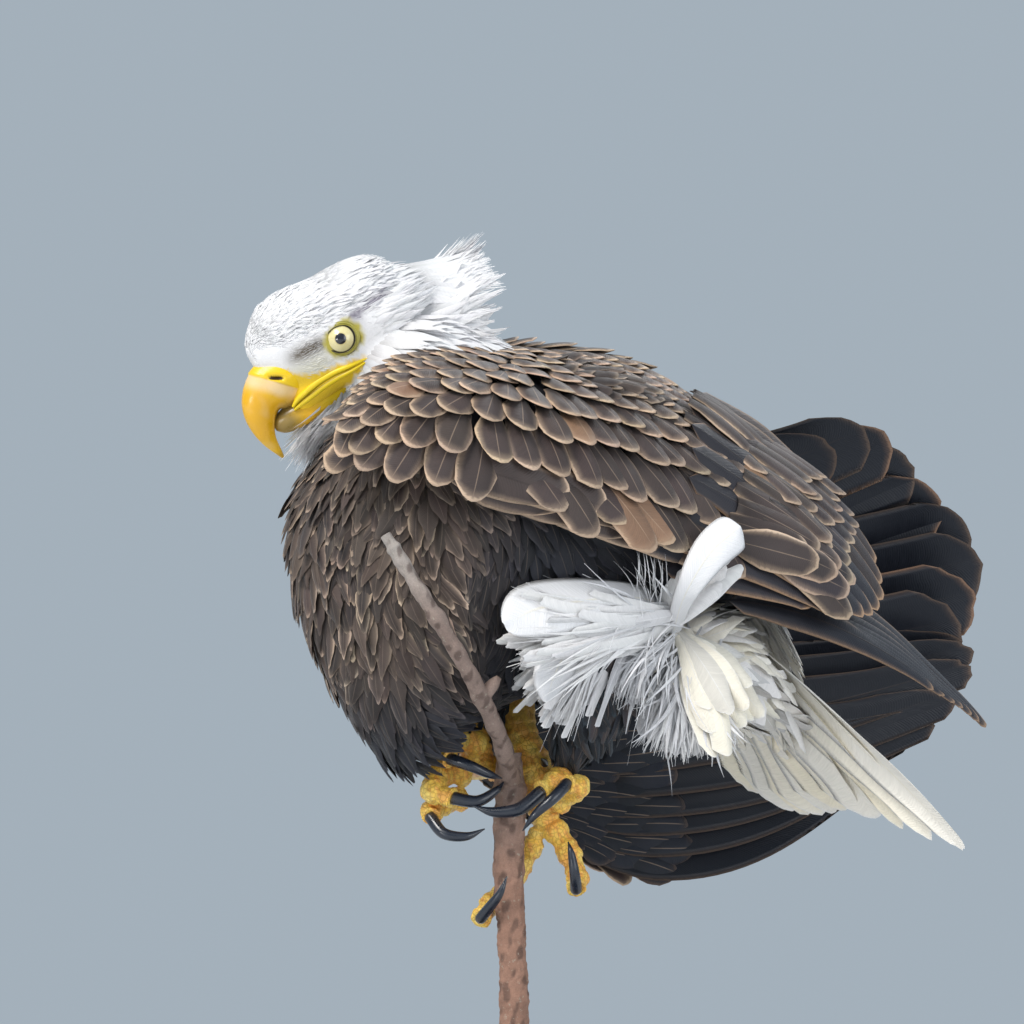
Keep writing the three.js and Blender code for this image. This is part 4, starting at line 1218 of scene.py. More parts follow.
def make_body_feathers(plumage):
    """Breast, belly, back and thigh feathers."""
    rng = np.random.default_rng(23)
    finish = feather_material("body plumage", 3.0, 0.4, 5.0, 0.62, 0.12, 0.5, 0.9, BREAST_EDGE,
                              shaft_share=0.14)
    depth = plumage.coat_depth
    bars = (neck(12), thigh(1, 10), thigh(-1, 10), tail_coverts(6), upper_arm(8))
    # Part of the trunk, steps between rows and in a row, lengths, widths, tip width, window of the bake map.
    zones = (
        ((0.02, 0.50), ([0], [8.0], [7.6]), (25, 36), (9.5, 14), 0.34, (0, 0, 1, 0.4)),
        ((0.50, 0.97), ([0], [11.0], [11.0]), (32, 42), (15, 20), 0.6, (0, 0.4, 1, 0.6)),
    )
    lots = []
    for along, pitch, lengths, widths, tip, window in zones:
        s, a, p, ds, face = rooted(trunk(depth), rng, pitch, bars, along=along)
        colour, edge, strength = body_colour(p, face, rng)
        gust = ripple(p, 70, 8)[:, None] * np.array([0.0, 0.35, 0.12])
        heading = unit(body_flow(p, face)) + gust + 0.13 * rng.normal(size=p.shape)
        length = rng.uniform(*lengths, len(p))
        width = rng.uniform(*widths, len(p))
        raised = rng.uniform(9, 20, len(p)) + 12 * smooth(0.7, 1.5, ripple(p, 34, 9))
        lots.append(lot(rng, p, heading, face, length, width, colour, edge, strength, rows=6,
                        lift=(raised, -6), camber=0.2, sway=0.1 * rng.normal(size=len(p)), tip=tip, arc=0.3,
                        fray=0.02, twist=0.25 * rng.normal(size=len(p)), window=window,
                        at=np.column_stack([a / TAU, (s - along[0]) / (along[1] - along[0])])))
    coat("breast_and_back_feathers", lots, finish, "body_feather")

    lots = []
    for number, side in enumerate((1, -1)):
        pitch = ([0, 1], [8, 5.5], [7.5, 5.0])
        s, a, p, ds, face = rooted(thigh(side, depth * 0.8), rng, pitch, (trunk(14),))
        # Thighs in the belly colour, with its painted shade.
        colour = varied(rng, SHADED_BELLY * 0.9, len(p), 0.35, 0.04)
        warm = (rng.uniform(size=len(p)) < 0.12)[:, None]
        edge = varied(rng, linear(60, 74, 84), len(p), 0.3)
        length = np.interp(s, [0, 1], [38, 20]) * rng.uniform(0.8, 1.15, len(p))
        width = np.interp(s, [0, 1], [12, 6]) * rng.uniform(0.8, 1.1, len(p))
        heading = ds + np.array([0, 0.25, -0.3]) + 0.22 * rng.normal(size=p.shape)
        colour = np.where(warm, colour + BREAST * 0.6, colour)
        lots.append(lot(rng, p, heading, face, length, width, colour, edge, (0.1, 0.5), rows=6,
                        lift=(rng.uniform(12, 30, len(p)), -12), camber=0.2,
                        sway=0.15 * rng.normal(size=len(p)), tip=0.35, arc=0.25, fray=0.05,
                        at=np.column_stack([a / TAU, s]), window=(0.5 * number, 0, 0.5 * number + 0.5, 1)))
    coat("thigh_feathers", lots, finish, "body_feather")


# ---------------------------------------------------------------- left wing

# Which way the folded wing's small feathers point, in the side-on map, from the wrist to the tips.
COVERT_HEADING = [(-0.42, -0.90), (-0.60, -0.80), (-0.42, -0.90), (0.0, -1.0), (0.42, -0.90), (0.74, -0.66)]


def in_view(right, up):
    """A direction of the side-on map in the bird's axes."""
    return np.asarray(right)[..., None] * VIEW_RIGHT + np.asarray(up)[..., None] * VIEW_UP


def make_left_wing(plumage):
    """Scale-like coverts of the folded left wing, its long lower coverts and its flight feathers."""
    rng = np.random.default_rng(37)
    finish = feather_material("wing coverts", 3.4, 0.5, 4.0, 0.55, 0.08, 0.42, 0.5, BROWN_EDGE,
                              shaft_share=0.25)
    pitch = ([0, 0.35, 0.8, 1], [9.0, 13.0, 19.0, 19.0], [10.5, 15.0, 20.0, 20.0])
    b, w, p, _, face = rooted(lambda b, w: left_arm(w, b), rng, pitch, along=(0.0, 0.8), across=(0.0, 1.0),
                              wander=0.16)
    lower = smooth(0.45, 0.8, b) * smooth(0.3, 0.5, w)
    heading = in_view(*mix(spline(COVERT_HEADING, w), (0.88, -0.48), 0.9 * lower).T)
    heading = heading + 0.06 * rng.normal(size=p.shape)
    size = np.interp(b, [0, 0.35, 0.7, 1], [19, 30, 43, 44])
    size = size * np.interp(w, [0, 0.2, 0.5, 1], [0.72, 0.85, 1.0, 1.0])
    length = size * rng.uniform(0.92, 1.1, len(p)) * (1 + 0.6 * lower + 0.7 * smooth(0.82, 1, w))
    width = size * rng.uniform(0.70, 0.82, len(p)) * np.interp(b, [0, 1], [1.1, 0.8])
    worn = (rng.uniform(size=len(p)) < 0.07 + 0.16 * lower)[:, None]
    colour = vary(rng, np.where(worn, WORN, BROWN), 0.2)
    edge = varied(rng, BROWN_EDGE, len(p), 0.12)
    strength = rng.uniform(0.7, 1.0, len(p))
    sunk = (0.11 * size - 5 * smooth(0.84, 1, w))[:, None]
    small = lot(rng, p - face * sunk, heading, face, length, width, colour, edge, strength, rows=9, columns=9,
                lift=(15, -3), camber=0.16, sway=0.06 * rng.normal(size=len(p)), neck_width=0.5, tip=0.86,
                arc=0.42, fray=0.006, at=np.column_stack([w, b]), window=(0, 0, 1, 0.8))
    coat("wing_left_coverts", [small, greater_lot(rng)], finish, "body_feather", thick=0.5)

    feathers = []
    count = 9
    for number in range(2 * count):
        layer, i = divmod(number, count)
        share = (i + 0.5 * layer) / (count - 1)
        w0, b0 = 0.30 + 0.66 * min(share, 1), 0.80 + 0.05 * layer - 0.06 * share
        root, _, _, face = frame_at(left_arm, np.array([w0]), np.array([b0]), -1.0)
        face = face[0]
        down = in_view(0.92, -0.16 - 0.12 * (1 - share))
        down = unit(down - face * np.dot(down, face))
        begin = root[0] - face * (6.5 + 2.5 * layer) - down * 16
        length = 92 - 14 * layer + 10 * math.sin(share * 3)
        feathers.append({"root": begin, "tip": begin + down * length, "bow": face * 5, "face": face,
                         "seed": 300 + i, "mark": rgba(SLATE if i in (4, 7) else BROWN)})
    flight = feather_material("flight feathers", 3.0, 0.9, 3.2, 0.46, 0.04, 0.7, 0.45, linear(58, 48, 44),
                              shaft_share=0.7)
    quills("wing_left_long_coverts", feathers, flight, "body_feather", rows=18, width=30, shaft=-0.2,
           thick=0.9, shape=(0.5, 0.4, 0.85, 0.5), ridge=0.7, edge=rgba(BROWN_EDGE, 0.95), curl=0.03)
    left_flights(flight)


def left_secondary_sheet(t, s):
    """Fan of the folded wing's secondaries, from their roots at t = 0."""
    s, t = np.broadcast_arrays(np.asarray(s, float), np.asarray(t, float))
    root, tip = spline(SECONDARY_ROOT_L, s), spline(SECONDARY_TIP_L, s)
    return mix(root, tip, t) + np.array([6.0, 0, 5]) * (4 * np.clip(t, 0, 1) * (1 - t))[..., None]


def greater_lot(rng):
    """Long pale-edged coverts over the bases of the folded secondaries."""
    back_of = lambda v: 1.4 * v - 0.4
    v, s, p, dt, face = rooted(lambda v, s: left_secondary_sheet(back_of(v), s), rng, ([0], [20.0], [15.0]),
                               outside=LEFT_FACE, along=(0.06, 0.58), across=(0.2, 1.0), wander=0.12)
    t = back_of(v)
    length = 54 + 14 * rng.uniform(size=len(p))
    width = rng.uniform(23, 29, len(p))
    colour = vary(rng, mix(many(BROWN, len(p)), SLATE, 0.6 * smooth(0.1, 0.4, t)), 0.2)
    edge = varied(rng, BROWN_EDGE, len(p), 0.12)
    sunk = smooth(0.2, -0.3, t)
    root = p + face * (1.5 - 16 * sunk * (1 - 0.7 * smooth(0.6, 0.85, s)))[:, None]
    heading = dt + 0.04 * rng.normal(size=p.shape)
    return lot(rng, root, heading, face, length, width, colour, edge, 0.9, rows=9, columns=9,
               lift=(8 + 12 * sunk, -4), camber=0.14, neck_width=0.5, tip=0.84, arc=0.45, fray=0.006,
               at=np.column_stack([s, v]), window=(0, 0.8, 1, 1))


SECONDARY_ROOT_L = [(92, 84, 136), (103, 100, 166), (88, 118, 204), (58, 134, 236), (10, 160, 256)]
SECONDARY_TIP_L = [(86, 166, 128), (76, 206, 124), (58, 234, 126), (34, 256, 142), (11, 262, 174)]
PRIMARY_ROOT_L = [(80, 160, 112), (62, 196, 112), (34, 222, 132)]
PRIMARY_TIP_L = [(44, 284, 82), (30, 318, 70), (18, 346, 57)]
LEFT_FACE = unit(np.array([0.94, 0.1, 0.32]))


def left_flights(material):
    """Secondaries and primaries of the folded wing, each a vane of its own."""
    feathers = []
    for i in range(9):
        s = (i + 0.5) / 9
        root, tip = spline(SECONDARY_ROOT_L, s), spline(SECONDARY_TIP_L, s)
        feathers.append({
            "root": root - (tip - root) * 0.25 - LEFT_FACE * 10, "tip": tip, "seed": 40 + i,
            "face": LEFT_FACE + np.array([0, -0.05, 0.12 * s]),
            "mark": rgba(mix(SLATE, BROWN, 0.8 if i > 5 else 0.15)),
        })
    quills("wing_left_secondary_vanes", feathers, material, "flight_feather", "wing_left_secondaries",
           width=36, bow=(6.0, 0, 5), shape=(0.5, 0.4, 0.72, 0.55), shaft=0.25,
           edge=rgba(SLATE_EDGE, 0.9), curl=0.07)
    feathers = []
    for i in range(7):
        s = (i + 0.5) / 7
        root, tip = spline(PRIMARY_ROOT_L, s), spline(PRIMARY_TIP_L, s)
        feathers.append({
            "root": root - (tip - root) * 0.4 - LEFT_FACE * 6, "tip": tip, "seed": 60 + i,
            "face": LEFT_FACE + np.array([0, 0.0, 0.1 * s]),
        })
    quills("wing_left_primary_vanes", feathers, material, "flight_feather", "wing_left_primaries", width=26,
           bow=(4.0, 0, 9), shape=(0.6, 0.3, 0.5, 0.5), shaft=0.35, mark=rgba(SLATE * 0.8),
           edge=rgba(SLATE_EDGE, 0.6), curl=0.06)


# ---------------------------------------------------------------- right wing

RIGHT_FACE = np.array([-0.93, 0.12, 0.2])


def make_right_wing(plumage):
    """The half-open right wing: scapulars, coverts outside and in, flight feathers in two fans."""
    rng = np.random.default_rng(53)
    finish = bpy.data.materials["wing coverts"]
    lots = []
    # Sheet, side that the coverts lie on, their colour and their rim's colour and strength; the inner side's
    # ink is painted shade.
    sides = ((1, BROWN, BROWN_EDGE, 0.85), (-1, SHADED_INK * 1.6, INK_EDGE, 0.4))
    pitch = ([0, 0.4], [10.0, 20.0], [11.0, 17.0])
    cases = [(sheet, *one) for sheet in (right_secondary_sheet, right_primary_sheet) for one in sides]
    for number, (sheet, side, base, rim, strength) in enumerate(cases):
        t, s, p, dt, face = rooted(lambda t, s, sheet=sheet: sheet(s, t), rng, pitch, outside=RIGHT_FACE,
                                   along=(0.0, 0.34), across=(0.0, 1.0), wander=0.16)
        face = face * side
        heading = dt + 0.05 * rng.normal(size=p.shape)
        size = np.interp(t, [0, 0.34], [24, 46])
        length = size * rng.uniform(0.95, 1.12, len(p))
        colour = varied(rng, base, len(p), 0.2)
        edge = varied(rng, rim, len(p), 0.15)
        low = 0.25 * number
        lots.append(lot(rng, p + face * 3.5, heading, face, length, size * 0.66, colour, edge, lift=(9, -4),
                        camber=0.14, neck_width=0.5, **COVERT, sway=0.05 * rng.normal(size=len(p)),
                        strength=strength * rng.uniform(0.7, 1, len(p)), at=np.column_stack([s, t / 0.34]),
                        window=(0, low, 1, low + 0.25)))
    coat("wing_right_coverts", lots, finish, "body_feather", thick=0.5)

    s, a, p, ds, face = rooted(upper_arm(5), rng, ([0], [15.0], [15.0]), (trunk(10), neck(12)))
    heading = ds + np.array([-0.1, 0.2, -0.25]) + 0.06 * rng.normal(size=p.shape)
    length = rng.uniform(38, 48, len(p))
    width = rng.uniform(24, 29, len(p))
    colour = varied(rng, BROWN, len(p), 0.2)
    edge = varied(rng, BROWN_EDGE, len(p), 0.12)
    arm = lot(rng, p, heading, face, length, width, colour, edge, 0.9, lift=(12, -6), camber=0.16, **COVERT,
              sway=0.05 * rng.normal(size=len(p)), at=np.column_stack([a / TAU, s]), window=(0, 0, 1, 0.6))
    coat("scapular_feathers", [arm, mantle_lot(rng)], finish, "body_feather", thick=0.5)
    right_flights(bpy.data.materials["flight feathers"])


def mantle_sheet(s, t):
    """Back between the wings: from the left wing's upper edge, t = 0, over to the right arm, t = 1."""
    s, t = np.broadcast_arrays(np.asarray(s, float), np.asarray(t, float))
    left_edge = spline([(30, -92, 262), (18, -50, 290), (4, 20, 303), (0, 92, 294), (4, 150, 248)], s)
    stations = [(-74, -70, 236), (-92, -30, 250), (-104, 30, 258), (-108, 96, 246), (-96, 150, 216)]
    right_edge = spline(stations, s)
    swell = 14 * np.sin(math.pi * t)
    return mix(left_edge, right_edge, t) + np.array([0, 0, 1.0]) * swell[..., None]


def mantle_lot(rng):
    """Broad dark feathers of the mantle, lying back between the wings."""
    s, t, p, ds, face = rooted(mantle_sheet, rng, ([0], [15.0], [14.0]), outside=(0, 0, 1),
                               along=(0.02, 0.98), across=(0.0, 1.0), wander=0.2)
    length = rng.uniform(36, 46, len(p))
    width = rng.uniform(22, 27, len(p))
    colour = varied(rng, BROWN * 0.9, len(p), 0.2)
    edge = varied(rng, BROWN_EDGE, len(p), 0.12)
    heading = ds + 0.07 * rng.normal(size=p.shape)
    return lot(rng, p - face * 9, heading, face, length, width, colour, edge, 0.85, lift=(15, -4),
               camber=0.16, **COVERT, sway=0.05 * rng.normal(size=len(p)),
               at=np.column_stack([t, s]), window=(0, 0.6, 1, 1))


def right_flights(material):
    """Secondaries and primaries of the half-open wing."""
    feathers = []
    for i in range(9):
        s = (i + 0.5) / 9
        warm = i in (2, 4, 7)
        feathers.append({
            "root": spline(FORE_ARM, s), "tip": spline(SECONDARY_TIP_R, s), "seed": 80 + i,
            "bow": np.array([-34.0, 6, -8]) * (0.7 + 0.3 * s),
            "face": unit(np.array([-0.93, 0.12, 0.5 - 0.4 * s])),
            "edge": rgba(WORN if warm else INK_EDGE, 0.9 if warm else 0.5),
        })
    # Ink of the secondaries: dark brown with painted shade and sky reflection.
    quills("wing_right_secondary_vanes", feathers, material, "flight_feather", "wing_right_secondaries",
           width=64, shape=(0.35, 0.35, 0.92, 0.36), shaft=-0.22, mark=rgba(SHADED_INK * 1.5), curl=-0.06, thick=1.2)
    feathers = []
    for i in range(8):
        s = (i + 0.5) / 8
        feathers.append({
            "root": spline(HAND, s), "tip": spline(PRIMARY_TIP_R, s), "seed": 110 + i,
            "bow": (-34 + 18 * s, 6, -8 - 34 * s), "face": unit(np.array([-0.88, 0.1, 0.1 - 0.55 * s])),
        })
    # Ink of the primaries: dark brown with painted shade and sky reflection.
    quills("wing_right_primary_vanes", feathers, material, "flight_feather", "wing_right_primaries", width=54,
           shape=(0.35, 0.35, 0.62, 0.5), shaft=-0.35, mark=rgba(SHADED_INK * 1.3), edge=rgba(INK_EDGE, 0.5),
           curl=-0.06, thick=1.2)


# ---------------------------------------------------------------- tail

TAIL_ROOT = np.array([0.0, 124, 142])
TAIL_PITCH = math.radians(50)
TAIL_SPREAD = (-33.0, 29.0)
RECTRIX_LENGTH = [186, 188, 190, 190, 188, 186, 184, 186, 196, 212, 230, 252]
TAIL_FACE = np.array([0.0, math.sin(TAIL_PITCH), math.cos(TAIL_PITCH)])


def tail_direction(s):
    """Way that the tail feather at s of the fan points."""
    angle = math.radians(TAIL_SPREAD[0] + (TAIL_SPREAD[1] - TAIL_SPREAD[0]) * s)
    ahead = math.cos(angle)
    return np.array([math.sin(angle), ahead * math.cos(TAIL_PITCH), -ahead * math.sin(TAIL_PITCH)])


def white_mix(rng, count, cream=0.0, grey=0.0, depth=0.05):
    """White taken towards cream and then towards ash, varied for each feather."""
    return vary(rng, mix(mix(many(WHITE, count), CREAM_GLOW, cream), SHADE_GREY, grey), depth, 0.004)


def make_tail(plumage):
    """Tail feathers, the ruffled coverts round their roots and the few that the wind has turned over."""
    rng = np.random.default_rng(71)
    finish = feather_material("tail feathers", 2.0, 0.9, 3.0, 0.6, 0.15, 0.80, 0.30, linear(235, 226, 196),
                              shaft_share=0.35)
    feathers = []
    count = len(RECTRIX_LENGTH)
    for i, length in enumerate(RECTRIX_LENGTH):
        way = tail_direction((i + 0.5) / count)
        pointed = i >= count - 3
        feathers.append({
            "root": TAIL_ROOT + way * 12, "tip": TAIL_ROOT + way * length, "width": 34 if pointed else 40,
            "face": TAIL_FACE + np.array([0.22 * (i % 2 - 0.5), 0, 0]), "seed": 140 + i,
            "shape": (0.3, 0.5, 0.35 if pointed else 0.8, 0.6 if pointed else 0.45),
            # Cream of painted glow, made 4% brighter as painted light against the shade under the bird.
            "mark": rgba(mix(CREAM_GLOW, WHITE, 0.1 + 0.22 * (i % 3)) * 1.04),
        })
    quills("tail_vanes", feathers, finish, "white_feather", "tail", bow=(0.0, 5, 6), shaft=0.12,
           edge=rgba(WHITE, 0.5), curl=0.09, wave=0.035, camber=0.16, ridge=1.6)
    blown_feathers(finish)

    down = feather_material("covert down", 1.2, 0.4, 4.5, 0.78, 0.3, 0.72, 0.35, WHITE, bump=0.25)
    s, a, p, ds, face = rooted(tail_coverts(plumage.coat_depth), rng, ([0], [8.0], [7.5]), (trunk(10),),
                               along=(0.05, 0.98))
    under = smooth(0.2, -0.6, face[:, 2])
    forward = smooth(0.55, 0.2, s)
    turned = (forward * under)[:, None]
    heading = ds * (1 - 1.5 * turned) + np.array([0.1, -0.2, -0.7]) * turned
    heading = heading + 0.2 * rng.normal(size=p.shape)
    length = rng.uniform(28, 46, len(p))
    width = rng.uniform(9, 15, len(p))
    # Patchy grey on the coverts that face down: painted shade.
    grey = smooth(0.1, 0.9, ripple(p, 30, 3)) * 0.6
    colour = white_mix(rng, len(p), rng.uniform(0.1, 0.8, len(p)), grey * under, 0.06)
    ruffled = lot(rng, p, heading, face, length, width, colour, WHITE, 0.3, rows=7,
                  lift=(rng.uniform(10, 30, len(p)), -10), camber=0.15, sway=0.2 * rng.normal(size=len(p)),
                  tip=0.45, arc=0.5, fray=0.012, twist=0.2 * rng.normal(size=len(p)),
                  at=np.column_stack([a / TAU, s]), window=(0, 0, 1, 0.6))
    coat("tail_covert_feathers", [ruffled, rump_lot(rng)], down, "white_feather")
    coat("blown_down", blown_down(rng) + blown_fan(rng), down, "white_feather")


def rump_sheet(s, t):
    """White coverts' bed over the root of the tail, from its left edge, t = 0, to its right."""
    left = spline([(40, 120, 190), (44, 150, 160), (44, 176, 118)], s)
    right = spline([(-44, 118, 190), (-60, 150, 158), (-70, 178, 112)], s)
    return mix(left, right, t) + np.array([0, 0.5, 0.8]) * (16 * np.sin(math.pi * np.asarray(t)))[..., None]


def rump_lot(rng):
    """White coverts over the root of the tail."""
    s, t, p, ds, face = rooted(rump_sheet, rng, ([0], [10.0], [9.0]), outside=TAIL_FACE, across=(0.0, 1.0))
    length = rng.uniform(38, 54, len(p))
    width = rng.uniform(15, 20, len(p))
    colour = white_mix(rng, len(p), rng.uniform(0, 0.5, len(p)))
    heading = ds + 0.07 * rng.normal(size=p.shape)
    return lot(rng, p - face * 4, heading, face, length, width, colour, WHITE, 0.3, rows=7, lift=(10, -4),
               tip=0.6, arc=0.4, at=np.column_stack([t, s]), window=(0, 0.6, 1, 1))


# Turned-over coverts: stations [x, y, z, half width] down the middle, and the way that their faces look.
BLOWN = {
    "blown_covert_front": ([(62, 88, 116, 10), (80, 58, 123, 13), (93, 26, 121, 16), (99, -5, 116, 19),
                            (100, -31, 110, 19), (98, -49, 99, 16)], (0.9, 0.2, 0.35)),
    "blown_covert_low": ([(66, 84, 92, 7), (82, 50, 97, 9), (92, 20, 95, 11), (97, -3, 88, 11),
                          (95, -14, 70, 14), (90, -17, 54, 9)], (0.9, 0.1, 0.1)),
    "blown_covert_top": ([(68, 82, 100, 4), (104, 72, 122, 7), (119, 82, 148, 12), (123, 96, 162, 13),
                          (125, 102, 167, 9)], (0.85, -0.45, -0.2)),
}


def blown_feathers(material):
    """The three large coverts that the wind has turned forward and up, each along its own bent path."""
    v, u = toward_tip(22, 1.3), np.linspace(-1, 1, 11)
    for number, (name, (stations, face)) in enumerate(BLOWN.items()):
        values = spline(stations, v)
        line, half = values[:, :3], values[:, 3]
        along = unit(np.gradient(line, axis=0))
        out = unit(np.asarray(face)[None] - along * dot(np.asarray(face)[None], along))
        side = np.cross(along, out)
        half = (half * np.sqrt(np.clip(1 - ((v - 0.72) / 0.285).clip(0, 1) ** 2.5, 0.03, 1)))[:, None]
        curl = -0.22 * half * u[None] ** 2 + 0.8 * np.sin(6 * v[:, None] + 3 * u[None] + number)
        top = line[:, None] + side[:, None] * (half * u[None])[..., None] + out[:, None] * curl[..., None]
        sheet = 0.9 * (1 - u[None] ** 4) * (1 - v[:, None] ** 8) / 2
        length = float(np.linalg.norm(np.diff(line, axis=0), axis=1).sum())
        # The low covert greyed a little as painted shade.
        mark = rgba(mix(WHITE, SHADE_GREY, 0.25 * (number == 1)))
        vane = closed_vane(top, out, sheet, sheet, u, v, mark, rgba(WHITE, 0.6), [15.0, length, 0.3 * number])
        coat(name + "_vane", [vane], material, "white_feather", name)


def blown_down(rng):
    """Loose down and narrow plumes that stream forward and down from the root of the tail."""
    lots = []
    # root, spread of roots, way it streams, count, length, width, share of painted shade grey
    streams = (
        ((76, 66, 112), 9, (0.38, -0.93, 0.02), 30, (40, 84), (0.9, 2.0), 0.35),
        ((78, 66, 102), 9, (0.30, -0.82, -0.40), 36, (34, 70), (0.9, 2.0), 0.5),
        ((72, 80, 92), 12, (0.20, -0.55, -0.80), 90, (24, 50), (1.2, 2.8), 0.6),
        ((56, 104, 84), 14, (0.20, -0.10, -1.00), 110, (20, 44), (1.4, 3.2), 0.5),
        ((84, 62, 124), 9, (0.30, -0.20, 0.75), 30, (14, 34), (0.6, 1.0), 0.3),
    )
    for number, (root, spread, way, count, lengths, widths, grey) in enumerate(streams):
        p = np.asarray(root, float) + rng.normal(0, spread, (count, 3)) * np.array([0.5, 1, 1])
        heading = unit(np.asarray(way, float)) + 0.16 * rng.normal(size=(count, 3))
        face = unit(np.array([0.9, 0.1, 0.3]) + 0.25 * rng.normal(size=(count, 3)))
        length = rng.uniform(*lengths, count)
        width = rng.uniform(*widths, count)
        colour = white_mix(rng, count, 0.0, np.clip(rng.uniform(0, 2 * grey, count), 0, 1), 0.06)
        low = 0.1 * number
        lots.append(lot(rng, p, heading, face, length, width, colour, WHITE, 0.4, rows=8, columns=3,
                        neck_width=0.5, broad=0.3, tip=0.2, arc=0.1, camber=0.12, free=True,
                        lift=(rng.uniform(-8, 18, count), rng.uniform(-34, 6, count)),
                        sway=rng.normal(-0.12, 0.30, count), twist=0.8 * rng.normal(size=count),
                        at=rng.uniform(0, 1, (count, 2)), window=(0, low, 1, low + 0.1)))
    return lots


FAN_ROOT = np.array([66.0, 84, 110])
# Fans of turned coverts: first and last angle in the side-on map, place of the root in it, lengths, widths,
# lean to the outside, feathers in a layer, layers, share of cream glow, first and last share of painted
# shade grey, tip width and sideways bend.
FANS = (
    ((182, 204), (6, 8), (92, 106), (8, 14), 0.85, 30, 4, 0.12, (0.0, 0.1), 0.5, 0.02),
    ((186, 212), (-14, 10), (74, 86), (7, 12), 0.74, 46, 4, 0.10, (0.1, 0.5), 0.5, -0.34),
    ((214, 238), (-6, 4), (44, 57), (5, 9), 0.60, 34, 3, 0.10, (0.5, 0.8), 0.4, -0.16),
    ((244, 300), (8, -24), (40, 60), (13, 20), 0.30, 18, 3, 0.20, (0.75, 0.4), 0.6, -0.05),
    ((284, 324), (2, -4), (58, 88), (16, 22), 0.42, 9, 3, 0.75, (0.0, 0.0), 0.72, 0.05),
    ((42, 56), (-16, -8), (58, 80), (13, 18), 0.46, 9, 2, 0.10, (0.1, 0.0), 0.6, 0.03),
)
STRANDS = (110, 200, 240, 260)  # fine strands over each of the first fans


def blown_fan(rng):
    """Broad coverts turned over by the wind, in layered fans whose feathers lean outward and bend back."""
    lots = []
    for number, fan in enumerate(FANS):
        (first, last), place, lengths, widths, outward, count, layers, cream, shade_greys, tip, aslant = fan
        stretch = math.hypot(1, outward)
        foot = FAN_ROOT + in_view(*place)
        shade = lambda q: shade_greys[0] + (shade_greys[1] - shade_greys[0]) * q
        for layer in range(layers):
            q = np.clip((np.arange(count) + 0.5 + rng.uniform(-0.4, 0.4, count)) / count, 0, 1)
            angle = np.radians(first + (last - first) * q)
            way = in_view(np.cos(angle), np.sin(angle))
            aside = in_view(-np.sin(angle), np.cos(angle))
            length = rng.uniform(*lengths, count) * (1 - 0.14 * layer) * stretch
            width = rng.uniform(*widths, count)
            root = foot + VIEW_BACK * (2.5 * layer) + rng.normal(0, 2.4, (count, 3))
            heading = way + VIEW_BACK * outward + 0.035 * rng.normal(size=(count, 3))
            face = VIEW_BACK + aside * rng.normal(0.22, 0.12, (count, 1))
            # Painted shade grey, a little more in each further layer.
            grey = np.clip(shade(q) + 0.14 * rng.normal(size=count) + 0.1 * layer, 0, 0.85)
            colour = white_mix(rng, count, cream, grey)
            low = 0.5 + 0.02 * (4 * number + layer)
            lots.append(lot(rng, root, heading, unit(face), length, width, colour, WHITE, 0.4, rows=12,
                            columns=9, camber=0.16, free=True, neck_width=0.3, broad=0.6, tip=tip, arc=0.5,
                            fray=0.005,
                            lift=(rng.uniform(6, 18, count), rng.uniform(-34, -12, count)),
                            sway=rng.normal(aslant, 0.07, count), twist=0.25 * rng.normal(size=count),
                            at=np.column_stack([q, 0 * q]), window=(0, low, 1, low + 0.02)))
        if number >= len(STRANDS):
            continue
        count = STRANDS[number]
        q = rng.uniform(0, 1, count)
        angle = np.radians(first - 4 + (last - first + 8) * q)
        way = in_view(np.cos(angle), np.sin(angle))
        begin = rng.uniform(0.0, 0.55, count)
        length = rng.uniform(0.45, 1.03, count) * lengths[1] * stretch
        reach = np.minimum(length, lengths[1] * stretch * (1 - begin))
        width = rng.uniform(1.2, 3.0, count)
        root = foot + VIEW_BACK * rng.uniform(3, 11, (count, 1))
        heading = unit(way + VIEW_BACK * outward + 0.05 * rng.normal(size=(count, 3)))
        root = root + heading * (begin * lengths[1])[:, None] + rng.normal(0, 2.0, (count, 3))
        # Painted shade grey on the strands too.
        grey = np.clip(shade(q) + 0.2 * rng.normal(size=count), 0, 0.9)
        colour = white_mix(rng, count, cream, grey)
        face = np.broadcast_to(VIEW_BACK, (count, 3))
        lots.append(lot(rng, root, heading, face, reach, width, colour, WHITE, 0.4, rows=9, columns=3,
                        camber=0.12, free=True, neck_width=0.4, broad=0.4, tip=0.12, arc=0.1,
                        lift=(rng.uniform(2, 12, count), rng.uniform(-34, -8, count)),
                        sway=rng.normal(aslant, 0.12, count), twist=0.4 * rng.normal(size=count),
                        at=np.column_stack([q, begin]), window=(0, 0.98, 1, 1.0)))
    return lots


# ---------------------------------------------------------------- bill

UPPER_BILL_STATIONS = [
    [32, 0, -6, 14, 15], [43, 0, -8, 13, 17], [52, 0, -10, 11, 17], [60, 0, -15, 9, 14],
    [65, 0, -24, 6.6, 10.5], [67, 0, -36, 4, 6], [65.5, 0, -51, 0.8, 0.9],
]
LOWER_BILL_STATIONS = [
    [0, 0, -29, 15, 8], [20, 0, -31, 14.5, 9], [36, 0, -32, 11.5, 9], [48, 0, -32, 8.5, 8.5],
    [56, 0, -32, 5, 6.5], [60.5, 0, -32, 1.5, 2.5],
]
NOSTRIL = (46.7, -3.2)


def nostril(forward, up, grow=1.0):
    """1 in the slit of the nostril, which leans down to the rear."""
    x, y = forward - NOSTRIL[0], up - NOSTRIL[1]
    along, across = (0.85 * x + 0.53 * y) / (4.6 * grow), (0.85 * y - 0.53 * x) / (1.35 * grow)
    return np.exp(-(along**4) - across**2)


def cere_share(forward, up):
    """1 on the soft cere over the root of the bill, 0 on its horn."""
    return smooth(-1.2, 1.2, up - (5.0 + (forward - 57.5) * 1.08))


